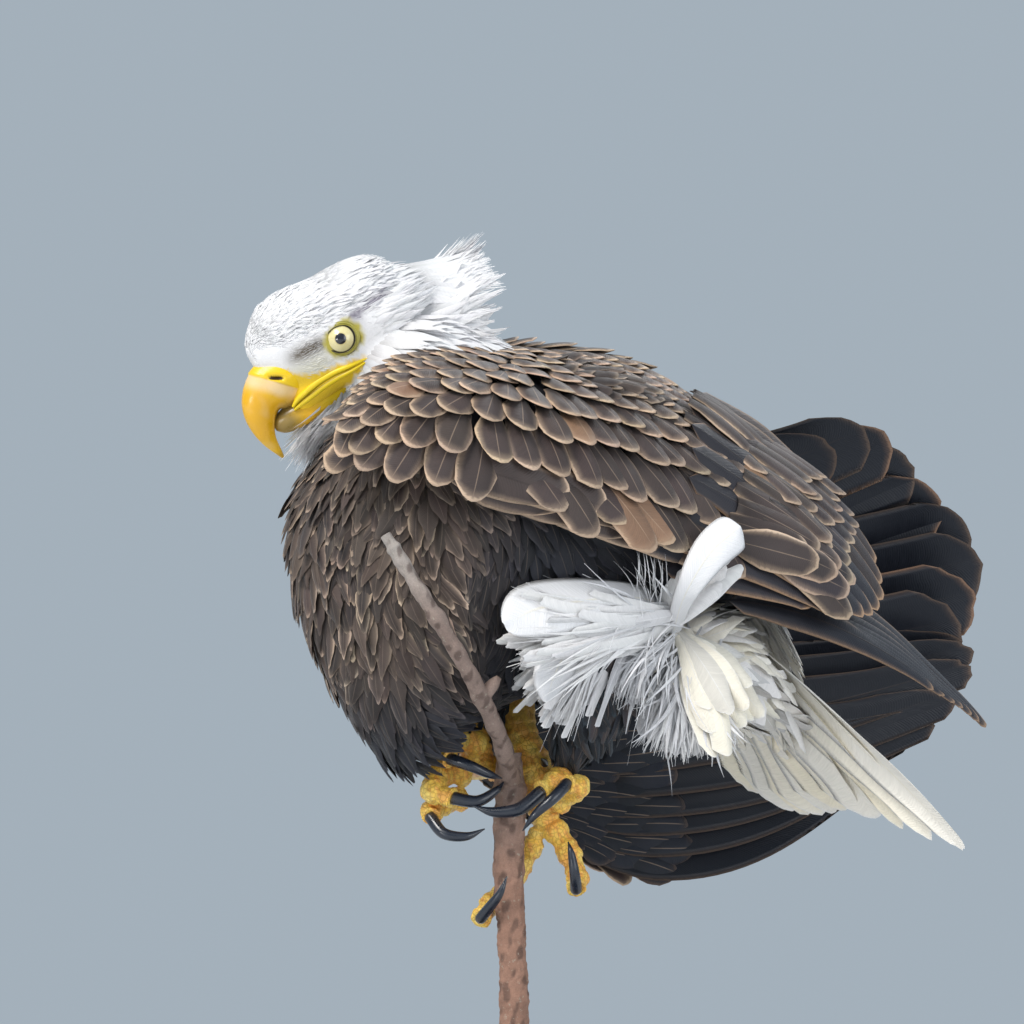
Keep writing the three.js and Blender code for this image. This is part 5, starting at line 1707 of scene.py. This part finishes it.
def make_bill(bill):
    """Hooked upper bill with its cere and nostril, the lower bill, and the lips that run back to the gape."""
    shape = Loft(UPPER_BILL_STATIONS, up=(0, -1, 1), kind="head")

    def carve(p, s, a):
        forward, left, up = in_head(p)
        centre = shape(s, a * 0) * 0.5 + shape(s, a * 0 + math.pi) * 0.5
        out = unit(p - centre)
        p = p + out * (0.9 * cere_share(forward, up))[..., None]
        rim = nostril(forward, up, 1.5) - nostril(forward, up)
        dip = (0.5 * rim - 2.8 * nostril(forward, up)) * (np.abs(left) > 3)
        under = smooth(-0.55, -0.95, np.sin(a)) * smooth(0.25, 0.6, s) * smooth(1.0, 0.8, s)
        return p + out * dip[..., None] - out * (1.8 * under)[..., None]

    horn = surface("bill horn", 70, 1400, 0.18, (0.26, 0.42), 0.12, 0.0002, Coat_Weight=0.25,
                   Coat_Roughness=0.15)
    upper = tube(shape, 150, 120, edit=carve)
    painted("bill_upper_horn", upper, upper_bill_colour(upper[0]), horn, "bill_horn", "bill_upper")
    lower = tube(Loft(LOWER_BILL_STATIONS, up=(0, -1, 1), kind="head"), 80, 72)
    painted("bill_lower_horn", lower, lower_bill_colour(lower[0]), horn, "bill_horn", "bill_lower")
    make_lips()


def tinted_in_turn(colour, *tints):
    """A colour taken towards each stain's colour by its share, one after another."""
    for red, green, blue, share in tints:
        colour = mix(colour, linear(red, green, blue), share)
    return colour


def lower_bill_colour(p):
    """Yellow at the root, olive and then dark towards the tip's cutting edge."""
    forward, _, up = in_head(p)
    return tinted_in_turn(
        many(linear(236, 184, 24), len(p)),
        (226, 192, 28, smooth(40, 20, forward)),
        (120, 104, 62, 0.8 * smooth(40, 52, forward)),
        (90, 76, 44, 0.7 * smooth(-29, -26, up) * smooth(36, 46, forward)),
    )


def upper_bill_colour(p):
    """Yellow, paler and pinker in front of the cere, olive along the cutting edge, dark in the nostril."""
    forward, left, up = in_head(p)
    cere = cere_share(forward, up)
    below = (5.0 + (forward - 57.5) * 1.08) - up
    cream = smooth(16, 5, below) * (1 - cere)
    grain = ripple(p, 9, 31)
    cut = smooth(58, 52, forward + 0.12 * (up + 30)) * smooth(-17, -24, up)
    # Painted shade on the hidden underside of the hook.
    inside = smooth(3.4, 1.2, np.abs(left)) * smooth(-22, -26, up) * smooth(61, 56, forward)
    return tinted_in_turn(
        many(linear(236, 184, 24), len(p)),
        (224, 156, 18, 0.4 * smooth(10, 20, below + grain) * smooth(-44, -30, up)),
        (238, 206, 152, 0.95 * np.clip(cream + 0.08 * grain, 0, 1)),
        (176, 148, 84, 0.75 * cut),
        (120, 92, 40, 0.55 * smooth(-44, -51, up)),
        (240, 200, 24, cere),
        # Painted shade in the nostril's opening.
        (44, 14, 6, smooth(0.3, 0.6, nostril(forward, up)) * (np.abs(left) > 3)),
        # Painted shade inside the hook.
        (70, 52, 30, inside),
    )


LIP_HEIGHTS = np.array([0.4, 1.0, 1.6, 2.0, 2.2, 2.2, 1.8, 1.0])


def make_lips():
    """Fleshy yellow lips along the gape: ellipses along a path on the side of the face, for both sides."""
    shells, colours = [], []
    for side in (1, -1):
        for part, heights in ((1, LIP_HEIGHTS), (-1, 0.85 * LIP_HEIGHTS)):
            table = np.column_stack([
                MOUTH[:, 0], side * (MOUTH[:, 1] - 0.2), MOUTH[:, 2] + part * (heights + 0.15),
                1.1 + 0.3 * heights, heights,
            ])
            shells.append(tube(Loft(table, kind="head"), 60, 20))
            forward, _, up = in_head(shells[-1][0])
            middle = np.interp(forward, table[:, 0], table[:, 2])
            shade = 0.75 * smooth(0.3, 1.8, part * (middle - up))
            colours.append(tinted_in_turn(many(linear(240, 208, 24), len(forward)), (128, 100, 14, shade)))
    soft = surface("cere skin", 90, 1500, 0.22, (0.34, 0.50), 0.25, 0.0003, Coat_Weight=0.1,
                   Coat_Roughness=0.15)
    painted("gape_lips", joined(shells), np.vstack(colours), soft, "bill_horn")


# ---------------------------------------------------------------- eyes

EYE_CENTRE = (-1.25, 18.5, -2.5)
EYE_RADIUS = 12.5
EYE_AXIS = unit(np.array([0.25, 0.95, 0.17]))  # forward, left, up
IRIS_RADIUS = 9.2
PUPIL_RADIUS = 3.4
CORNEA = 0.9  # how far the clear cornea stands out of the ball


def eye_axes(side):
    """Centre and axes of an eyeball in the bird's axes: outward, then two across it."""
    forward, left, up = EYE_CENTRE
    centre = on_head(forward, side * left, up)
    out = on_head(EYE_AXIS[0], side * EYE_AXIS[1], EYE_AXIS[2]) - on_head(0, 0, 0)
    high = on_head(0, 0, 1) - on_head(0, 0, 0)
    ahead = unit(np.cross(high, out))
    return centre, unit(out), ahead, np.cross(out, ahead)


def make_eyes(eyes):
    """Eyeballs with a pale ringed iris, and the bare lids round them."""
    glaze = eye_material()
    rings, sides = 63, 72
    polar = np.linspace(0, math.pi, rings + 2)[1:-1, None]
    around = np.linspace(0, TAU, sides, endpoint=False)[None]
    radius = EYE_RADIUS + CORNEA * np.exp(-(polar / 0.42) ** 2)
    # The map runs from the pole in front, at its middle, out to the pole behind.
    reach = np.concatenate([np.repeat(polar[:, 0], sides), [0, math.pi]]) / math.pi * 0.5
    angle = np.concatenate([np.tile(around[0], rings), [0, 0]])
    uv = np.column_stack([0.5 + reach * np.cos(angle), 0.5 + reach * np.sin(angle)])
    for side, name in ((1, "eye_left"), (-1, "eye_right")):
        centre, out, ahead, high = eye_axes(side)
        p = centre + (out * (np.cos(polar) * radius)[..., None]
                      + ahead * (np.sin(polar) * np.cos(around) * radius)[..., None]
                      + high * (np.sin(polar) * np.sin(around) * radius)[..., None])
        ball = capped(p, centre + out * (EYE_RADIUS + CORNEA), centre - out * EYE_RADIUS)
        finish_piece(new_mesh(name + "_ball", ball, uvs={"Iris": uv}), glaze, "eye_glaze", name)
    make_lids()


def eye_material():
    """Pupil, pale yellow iris with radial streaks and a dark outer ring, under a clear wet coat."""
    material, g, shader = new_material("eye glaze")
    parts = g.split(g.add("ShaderNodeUVMap", uv_map="Iris").outputs[0])
    x, y = g.minus(parts[0], 0.5), g.minus(parts[1], 0.5)
    radius = g.math("SQRT", g.plus(g.times(x, x), g.times(y, y)))
    angle = g.times(radius, TAU)
    spokes = g.add("ShaderNodeCombineXYZ", X=g.times(g.math("ARCTAN2", y, x), 9.0), Y=g.times(radius, 9.0))
    iris = g.blend(g.noise(spokes.outputs[0], 2.2, 4.0), linear(216, 202, 138), linear(240, 230, 178))
    edge_of_iris = math.asin(IRIS_RADIUS / EYE_RADIUS)
    pupil_edge = math.asin(PUPIL_RADIUS / EYE_RADIUS)
    inner = g.ramp(angle, pupil_edge, pupil_edge + 0.10, 1.0, 0.0)
    iris = g.blend(g.times(inner, 0.35), iris, linear(176, 150, 80))
    ring = g.ramp(angle, edge_of_iris - 0.17, edge_of_iris - 0.07)
    iris = g.blend(ring, iris, linear(40, 34, 34))
    pupil = g.ramp(angle, pupil_edge - 0.02, pupil_edge + 0.015, 1.0, 0.0)
    g.put(shader.inputs["Base Color"], g.blend(pupil, iris, linear(10, 14, 30)))
    for name, value in (("Roughness", 0.25), ("Coat Weight", 1.0), ("Coat Roughness", 0.03)):
        shader.inputs[name].default_value = value
    return material


def make_lids():
    """Bare ring round each eye: from the iris outwards it rises to a soft rim, then falls to the skin."""
    shells, colours = [], []
    rows, sides = 26, 96
    t = np.linspace(0, 1, rows)[:, None]
    a = np.linspace(0, TAU, sides, endpoint=False)[None]
    # Half axes of the lids' opening and of their outer edge.
    open_x, open_y = 9.0 + 0 * a, 8.7 - 0.9 * smooth(0.5, 1.0, np.sin(a))
    wide_x, wide_y = 13.0 + 1.2 * smooth(0.3, 1, -np.cos(a)), 11.2 + 0 * a
    x = (open_x + (wide_x - open_x) * t) * np.cos(a)
    y = (open_y + (wide_y - open_y) * t) * np.sin(a)
    on_ball = np.sqrt(np.maximum(EYE_RADIUS**2 - np.minimum(np.hypot(x, y), EYE_RADIUS - 0.5) ** 2, 0.2))
    rim = 1.3 * np.exp(-(((t - 0.16) / 0.16) ** 2))
    fold = 0.35 * np.sin(t * 16 + 0.6 * np.sin(3 * a)) * smooth(0.2, 0.5, t)
    brow = 2.2 * smooth(0.3, 1.0, np.sin(a + 0.2)) * smooth(0.2, 0.8, t)
    height = np.maximum(on_ball + 0.15 + rim, 9.3 - 2.6 * t) + fold + brow - 3.0 * smooth(0.85, 1, t)
    share = np.repeat(np.concatenate([[0], t[:, 0], [1]]), sides)
    for side in (1, -1):
        centre, out, ahead, high = eye_axes(side)
        p = centre + ahead * x[..., None] + high * y[..., None] + out * height[..., None]
        points = np.concatenate([p[:1] - out * 1.5, p, p[-1:] - out * 6.0]).reshape(-1, 3)
        quads = grid_quads(rows + 2, sides, closed=True)
        probe = quads[len(quads) // 2]
        normal = np.cross(points[probe[1]] - points[probe[0]], points[probe[3]] - points[probe[0]])
        shells.append((points, quads[:, ::-1] if np.dot(normal, out) < 0 else quads, NO_TRIS))
        colours.append(tinted_in_turn(
            many(linear(30, 26, 24), len(points)),
            (156, 148, 62, smooth(0.08, 0.22, share)),
            (186, 178, 92, 0.7 * smooth(0.35, 0.6, share)),
            (96, 88, 60, 0.8 * smooth(0.78, 0.95, share)),
        ))
    soft = surface("lid skin", 120, 1800, 0.25, (0.37, 0.53), 0.4, 0.0003, Coat_Weight=0.1,
                   Coat_Roughness=0.15)
    painted("eyelids", joined(shells), np.vstack(colours), soft, "eye_glaze")


# ---------------------------------------------------------------- feet

# Each toe: joints of the toe, then of its claw, as right, back, up and radius about the stem.
TOES = {
    "right_1": ([[-20, 4, 36, 8.4], [-34, -8, 39, 8.8], [-46, -20, 30, 8], [-38, -28, 24, 6.2]],
                [[-37, -29, 23.5, 4.8], [-25, -32, 19, 4.3], [-13, -28, 14, 3.2], [-5, -22, 12, 0.8]]),
    "right_2": ([[-28, 4, 18, 8.4], [-44, -6, 16, 8.6], [-48, -20, 4, 8], [-36, -26, -1, 6]],
                [[-35, -26, -1, 5.2], [-21, -27, -3, 4.6], [-9, -23, 4, 3.2], [-4, -19, 10, 0.8]]),
    "right_3": ([[-30, 10, 2, 8], [-44, 2, -2, 8], [-50, -8, -8, 7], [-50, -16, -12, 5.4]],
                [[-50, -17, -13, 4.8], [-42, -23, -23, 4.4], [-28, -24, -25, 3.4], [-16, -21, -20, 0.8]]),
    "right_4": ([[-20, 16, 26, 8], [-8, 24, 22, 8], [6, 22, 20, 7]],
                [[8, 22, 20, 5.6], [18, 16, 21, 4.4], [22, 6, 24, 3.2], [20, -6, 26, 0.8]]),
    "left_1": ([[27, 4, 10, 8.4], [32, -8, 12, 8.6], [28, -20, 8, 8], [20, -26, 3, 6.6]],
               [[19, -26, 2, 5.8], [6, -30, -8, 5.2], [-10, -30, -10, 4], [-24, -30, -6, 0.8]]),
    "left_2": ([[30, 6, -2, 8], [40, -4, 6, 8], [43, -18, 7, 7.2], [36, -27, 8, 5.6]],
               [[35.5, -28, 7.5, 4.8], [27, -36, -2, 4.4], [16, -36, -12, 3.2], [8, -32, -22, 0.8]]),
    "left_3": ([[24, 12, -8, 5.0], [29, 12, -18, 7.8], [38, 8, -34, 7.6], [43, 2, -50, 6.8],
                [42, -8, -57, 5.6]],
               [[42, -10, -57, 4.6], [41, -18, -48, 4], [39, -20, -36, 2.8], [37, -18, -28, 0.8]]),
    "left_4": ([[18, 14, -18, 5.0], [14, 16, -28, 7.4], [4, 20, -46, 7.2], [-12, 14, -66, 6.8],
                [-19, 0, -76, 6.2]],
               [[-18, -3, -75, 4.6], [-12, -12, -68, 4], [-6, -17, -60, 2.8], [-2, -18, -50, 0.8]]),
}
TARSI = {
    "right": [[-26, 28, 74, 10, 11], [-25, 21, 54, 10, 11], [-22, 15, 34, 11, 11], [-21, 13, 16, 11, 11]],
    "left": [[4, 26, 72, 10, 11], [8, 21, 44, 10, 10.5], [18, 15, 16, 13, 13], [22, 14, -8, 10, 10],
             [23, 13, -17, 4, 4]],
}
DIGIT_UP = (0.1, 0.05, 1)


def scuted(joints, scutes):
    """Edit for a toe: overlapping plates round its outer side, a swelling at each joint and pads beneath."""

    def edit(p, s, a):
        centre = p.mean(1, keepdims=True)
        out = unit(p - centre)
        saw = (s * scutes) % 1.0
        plate = (saw**1.6 - 0.4) * 1.1
        knuckle = 0.9 * np.cos(s * math.pi * 2 * (joints - 1)) - 0.2
        pits = 0.25 * ripple(p.reshape(-1, 3), 5.5, 17).reshape(s.shape)
        return p + out * (plate + knuckle + pits)[..., None]

    return edit


def make_feet(feet):
    """Scaly tarsi and toes as one skin for both feet, wrapped round the stem."""
    nodes, shells = [], []
    for side in ("right", "left"):
        shells.append(tube(Loft(TARSI[side], up=DIGIT_UP, kind="grip"), 90, 40, edit=scuted(2, 15)))
        nodes.append("tarsus_" + side)
        for number in range(1, 5):
            joints = TOES[f"{side}_{number}"][0]
            shells.append(tube(Loft(joints, up=DIGIT_UP, kind="grip"), 90, 36, edit=scuted(len(joints), 9)))
            nodes.append(f"toe_{side}_{number}")
    skin = melted("foot_skin", shells, 1.0, 1)
    p, _ = mesh_points(skin)
    tone, fine = ripple(p, 14, 61), ripple(p, 5, 62)
    dull = smooth(34, 60, p[:, 2])
    set_colour(skin, tinted_in_turn(
        many(linear(255, 208, 92), len(p)),
        (250, 184, 86, smooth(-0.2, 1.2, tone + 0.5 * fine)),
        (255, 226, 124, 0.6 * smooth(0.2, 1.2, -tone)),
        (172, 138, 62, 0.7 * dull),
        (214, 140, 60, 0.35 * smooth(0.4, 1.4, fine) * (1 - dull)),
    ))
    material = surface("scaly foot", 90, 1100, 0.2, (0.37, 0.53), 0.6, 0.0006, cells=330.0, Coat_Weight=0.08,
                       Coat_Roughness=0.15)
    finish_piece(skin, material, "toe_skin", *nodes)


CLAW_SLIM = 0.82


def make_talons(feet):
    """Eight claws, each a tapering hook with fine lines along it."""
    material = surface("claw horn", 160, 2200, 0.5, (0.22, 0.42), 0.15, 0.0002, Coat_Weight=0.4,
                       Coat_Roughness=0.12)

    def groove(p, s, a):
        return p + unit(p - p.mean(1, keepdims=True)) * (0.05 * np.sin(9 * a + 2 * s))[..., None]

    rows, sides = 48, 28
    s = np.concatenate([np.repeat(np.linspace(0, 1, rows), sides), [0, 1]])
    for name, (toe, claw) in TOES.items():
        # The claw starts inside the toe's tip.
        first = np.asarray(toe[-1][:3], float) * 0.55 + np.asarray(claw[0][:3], float) * 0.45
        slim = [[*joint[:3], CLAW_SLIM * joint[3]] for joint in claw[:-1]]
        stations = [[*first, slim[0][3] * 0.9], *slim, [*claw[-1][:3], 0.35]]
        shell = tube(Loft(stations, up=DIGIT_UP, kind="grip"), rows, sides, edit=groove)
        colour = tinted_in_turn(many(linear(70, 62, 54), len(s)), (30, 36, 48, smooth(0.1, 0.35, s)))
        painted("talon_" + name, shell, colour, material, "claw_horn", "claw_" + name)


# ---------------------------------------------------------------- perch and stand

STEM_STATIONS = [
    [4, 2, -172, 9.2, 9.2], [3, 1, -110, 8.4, 8.4], [-2, 0, -50, 9.2, 9.2], [0, 0, 0, 9.8, 9.8],
    [2, -2, 30, 7.4, 7.4],
]
TWIG_STATIONS = [
    [0, -6, 12, 6.4], [-5, -40, 32, 5.6], [-17, -82, 56, 5.2], [-33, -108, 84, 4.9], [-51, -124, 112, 4.6],
    [-70, -127, 143, 4.2], [-77, -127, 154, 3.2],
]
KNOT_STATIONS = [[-15, -84, 60, 4.2], [-10, -86, 66, 3.6], [-7, -87, 70, 1.8]]


def barked(seed, depth, swells=()):
    """Edit for a length of branch: long cracks, broad unevenness and a swelling at each given s."""

    def edit(p, s, a):
        wave = lambda length, number: ripple(p.reshape(-1, 3), length, number).reshape(s.shape)
        out = unit(p - p.mean(1, keepdims=True))
        cracks = np.abs(np.sin(a * 5.5 + 1.4 * wave(30, seed + 1))) ** 0.6
        rough = wave(24, seed) * depth * 0.7 + (cracks - 0.7) * depth * 0.9 + wave(5, seed + 2) * depth * 0.2
        for place, size in swells:
            rough = rough + size * np.exp(-((s - place) / 0.02) ** 2)
        return p + out * rough[..., None]

    return edit


def make_perch(perch):
    """The cut stem that the feet close on, its side twig and its knot: grey-brown bark with pale flecks."""
    material = surface("branch bark", 120, 1200, 0.8, (0.85, 0.85), 0.7, 0.0008, flecks=0.5)
    stem = Loft(STEM_STATIONS, up=(0, 1, 0))
    twig, knot = (Loft(stations, up=DIGIT_UP, kind="grip") for stations in (TWIG_STATIONS, KNOT_STATIONS))
    pieces = (
        ("perch_stem", stem, 220, 64, 0.7, ((0.18, 1.4), (0.52, 1.0), (0.8, 1.2))),
        ("perch_twig", twig, 220, 40, 0.45, ((0.35, 0.8), (0.62, 0.9), (0.86, 1.1))),
        ("perch_knot", knot, 24, 24, 0.3, ()),
    )
    for number, (node, shape, rows, sides, depth, swells) in enumerate(pieces):
        shell = tube(shape, rows, sides, edit=barked(90 + 5 * number, depth, swells))
        height = shell[0][:, 2]
        colour = tinted_in_turn(
            many(linear(152, 116, 98), len(height)),
            (142, 122, 112, smooth(-70, 20, height)),
            (164, 158, 152, 0.8 * smooth(90, 150, height)),
            (74, 56, 50, 0.6 * smooth(0.5, 1.3, ripple(shell[0], 10, 44))),
        )
        painted(node + "_bark", shell, colour, material, "bark", node)


BASE_RADIUS, BASE_HEIGHT, BASE_MIDDLE_Y = 165.0, 22.0, 38.0
ROD_RADIUS, SOCKET_RADIUS, SOCKET_HEIGHT = 8.0, 15.0, 26.0


def turned(name, profile, middle_y, sides, material, slot, node):
    """A body turned about an upright axis: the profile's radius and height carried round."""
    a = np.linspace(0, TAU, sides, endpoint=False)[None]
    r, z = profile[:, :1], profile[:, 1:]
    p = np.stack([np.cos(a) * r, np.sin(a) * r + middle_y, z - GRIP_HEIGHT + 0 * a], -1)
    obj = new_mesh(name, capped(p, p[0].mean(0), p[-1].mean(0)))
    obj.data.set_sharp_from_angle(angle=math.radians(40))
    finish_piece(obj, material, slot, node)


def rounded(corners, radius, steps=6):
    """A profile with its inner corners rounded by short arcs, each a quadratic curve from side to side."""
    corners = np.asarray(corners, float)
    out = [corners[0]]
    for before, here, after in zip(corners[:-2], corners[1:-1], corners[2:]):
        size = min(radius, np.linalg.norm(here - before) / 2.1, np.linalg.norm(after - here) / 2.1)
        start = here + unit(before - here) * size
        end = here + unit(after - here) * size
        for t in np.linspace(0, 1, steps):
            out.append((1 - t) ** 2 * start + 2 * t * (1 - t) * here + t * t * end)
    out.append(corners[-1])
    return np.array(out)


def make_stand(stand):
    """Round base and steel rod with the socket that holds the stem, satin with faint turning marks."""
    wood, steel = (
        surface(name, 14, 900, 0.25, rough, 0.1, 0.0003, colour=colour, rough_by="Fine", Metallic=metallic)
        for name, rough, colour, metallic in (
            ("stand black", (0.37, 0.49), stand.base_colour, 0.0),
            ("stand steel", (0.30, 0.42), stand.rod_colour, 0.8),
        )
    )
    base = rounded([(0.5, 0), (BASE_RADIUS, 0), (BASE_RADIUS, BASE_HEIGHT - 4),
                    (BASE_RADIUS - 4, BASE_HEIGHT), (0.5, BASE_HEIGHT)], 2.0)
    turned("stand_base_turned", base, BASE_MIDDLE_Y, 128, wood, "stand_finish", "stand_base")
    top = GRIP_HEIGHT + STEM_STATIONS[0][2] - 0.5
    rod = rounded([(0.3, BASE_HEIGHT), (ROD_RADIUS, BASE_HEIGHT), (ROD_RADIUS, top - SOCKET_HEIGHT),
                   (SOCKET_RADIUS, top - SOCKET_HEIGHT / 2), (SOCKET_RADIUS, top), (0.3, top)], 1.0)
    turned("stand_rod_turned", rod, 0, 64, steel, "stand_finish", "stand_rod")


# ---------------------------------------------------------------- stage

CAMERA_DISTANCE = 3.0
CAMERA_TARGET = np.array([0.02379, -0.00968, 0.51253])
VIEW_WIDTH = 0.65536


def aimed(name, data, place, back):
    """A light or camera at a place, looking against back."""
    obj = link(bpy.data.objects.new(name, data))
    obj.location = place
    obj.rotation_mode = "QUATERNION"
    obj.rotation_quaternion = (-back).to_track_quat("-Z", "Y")
    return obj


def area_light(name, place, size, power, colour):
    """A soft square light turned to the middle of the bird."""
    data = bpy.data.lights.new(name, "AREA")
    data.size = size
    data.energy = power
    data.color = colour
    aimed(name, data, place, place - Vector(CAMERA_TARGET))


def make_stage(stage):
    """Pale floor, plain sky-grey surroundings, soft lights and the camera."""
    size = 14.0
    mesh = bpy.data.meshes.new("floor")
    corners = [(-size, -size, 0), (size, -size, 0), (size, size, 0), (-size, size, 0)]
    mesh.from_pydata(corners, [], [(0, 1, 2, 3)])
    material, _, shader = new_material("studio floor")
    shader.inputs["Base Color"].default_value = (*stage.floor_colour, 1)
    shader.inputs["Roughness"].default_value = 0.8
    mesh.materials.append(material)
    link(bpy.data.objects.new("floor", mesh))

    world = bpy.data.worlds.new("studio")
    bpy.context.scene.world = world
    world.use_nodes = True
    background = world.node_tree.nodes["Background"]
    background.inputs["Color"].default_value = (*stage.backdrop_colour, 1)
    background.inputs["Strength"].default_value = stage.backdrop_strength
    bpy.context.scene.view_settings.view_transform = "Standard"

    centre = Vector(CAMERA_TARGET)
    right, up, back = Vector(VIEW_RIGHT), Vector((0, 0, 1)), Vector(VIEW_BACK)
    # Name, metres back, right and up of the middle, size, share of the main light's power and colour.
    lights = (
        ("key light", 1.7, -1.3, 2.0, 1.0, 1.0, (1.0, 0.965, 0.92)),
        ("fill light", 1.8, 1.8, 0.6, 1.6, 0.36, (0.97, 0.98, 1.0)),
        ("rim light", -1.6, 0.8, 1.8, 1.0, 0.35, (1.0, 1.0, 1.0)),
        ("low light", 1.8, -1.4, -0.25, 0.6, 0.22, (1.0, 0.98, 0.95)),
    )
    for name, behind, aside, above, side, share, colour in lights:
        place = centre + back * behind + right * aside + up * above
        area_light(name, place, side, stage.key_power * share, colour)

    data = bpy.data.cameras.new("camera")
    data.sensor_width = 36.0
    data.lens = data.sensor_width * CAMERA_DISTANCE / VIEW_WIDTH
    data.clip_start, data.clip_end = 0.1, 60
    bpy.context.scene.camera = aimed("camera", data, centre + back * CAMERA_DISTANCE, back)


# ---------------------------------------------------------------- settings, operators and panel

def colour_property(name, description, default):
    """A colour setting in scene-linear values."""
    return FloatVectorProperty(name=name, description=description, subtype="COLOR", size=3, min=0, max=1,
                               default=tuple(float(x) for x in default))


class EagleSettings(bpy.types.PropertyGroup):
    """Sizes and colours that a user would change."""

    coat_depth: FloatProperty(name="Coat depth", description="Depth of the skin inside the outline, in mm",
                              default=8.0, min=2.0, max=20.0)
    base_colour: colour_property("Base colour", "Colour of the stand's base", linear(44, 42, 42))
    rod_colour: colour_property("Rod colour", "Colour of the stand's steel", linear(120, 122, 126))
    floor_colour: colour_property("Floor colour", "Colour of the studio floor", linear(222, 224, 226))
    backdrop_colour: colour_property("Backdrop colour", "Colour of the surroundings", linear(190, 204, 216))
    backdrop_strength: FloatProperty(name="Backdrop strength", description="Brightness of the surroundings",
                                     default=0.72, min=0.0, max=4.0)
    key_power: FloatProperty(name="Key light", description="Power of the main light", default=58.0, min=0.0,
                             unit="POWER")


def operator(name, label, note, maker):
    """An operator class that makes one piece or group of like pieces."""

    def execute(self, context):
        maker(context.scene.eagle)
        return {"FINISHED"}

    body = {"bl_idname": "eagle." + name, "bl_label": label, "__doc__": note, "execute": execute}
    return type("EAGLE_OT_" + name, (bpy.types.Operator,), body)


OPERATORS = [
    operator("skin", "Skin", "Make the one skin under the feathers", make_skin),
    operator("head_feathers", "Head and neck feathers", "Make the white head and neck", make_head_feathers),
    operator("body_feathers", "Body feathers", "Make breast, back and thighs", make_body_feathers),
    operator("left_wing", "Left wing", "Make the folded left wing", make_left_wing),
    operator("right_wing", "Right wing", "Make the half-open right wing", make_right_wing),
    operator("tail", "Tail", "Make the tail and its coverts", make_tail),
    operator("bill", "Bill", "Make the bill, cere and lips", make_bill),
    operator("eyes", "Eyes", "Make the eyes and lids", make_eyes),
    operator("feet", "Feet", "Make the scaly feet", make_feet),
    operator("talons", "Talons", "Make the eight claws", make_talons),
    operator("perch", "Perch", "Make the branch", make_perch),
    operator("stand", "Stand", "Make the display stand", make_stand),
    operator("stage", "Stage", "Make floor, lights and camera", make_stage),
]


class EAGLE_PT_parts(bpy.types.Panel):
    """Lists the eagle's settings and the operators that make its pieces."""

    bl_label = "Eagle"
    bl_idname = "EAGLE_PT_parts"
    bl_space_type = "VIEW_3D"
    bl_region_type = "UI"
    bl_category = "Eagle"

    def draw(self, context):
        layout = self.layout
        for key in EagleSettings.__annotations__:
            layout.prop(context.scene.eagle, key)
        for one in OPERATORS:
            layout.operator(one.bl_idname)


CLASSES = [EagleSettings, *OPERATORS, EAGLE_PT_parts]


def register():
    """Registers the classes and the scene's settings."""
    for one in CLASSES:
        bpy.utils.register_class(one)
    bpy.types.Scene.eagle = PointerProperty(type=EagleSettings)


def unregister():
    """Undoes register."""
    del bpy.types.Scene.eagle
    for one in reversed(CLASSES):
        bpy.utils.unregister_class(one)


def main():
    """Makes every piece in order and writes the solids' box and the finished model's."""
    register()
    for one in OPERATORS:
        name = one.bl_idname.split(".")[1]
        getattr(bpy.ops.eagle, name)()


if __name__ == "__main__":
    main()
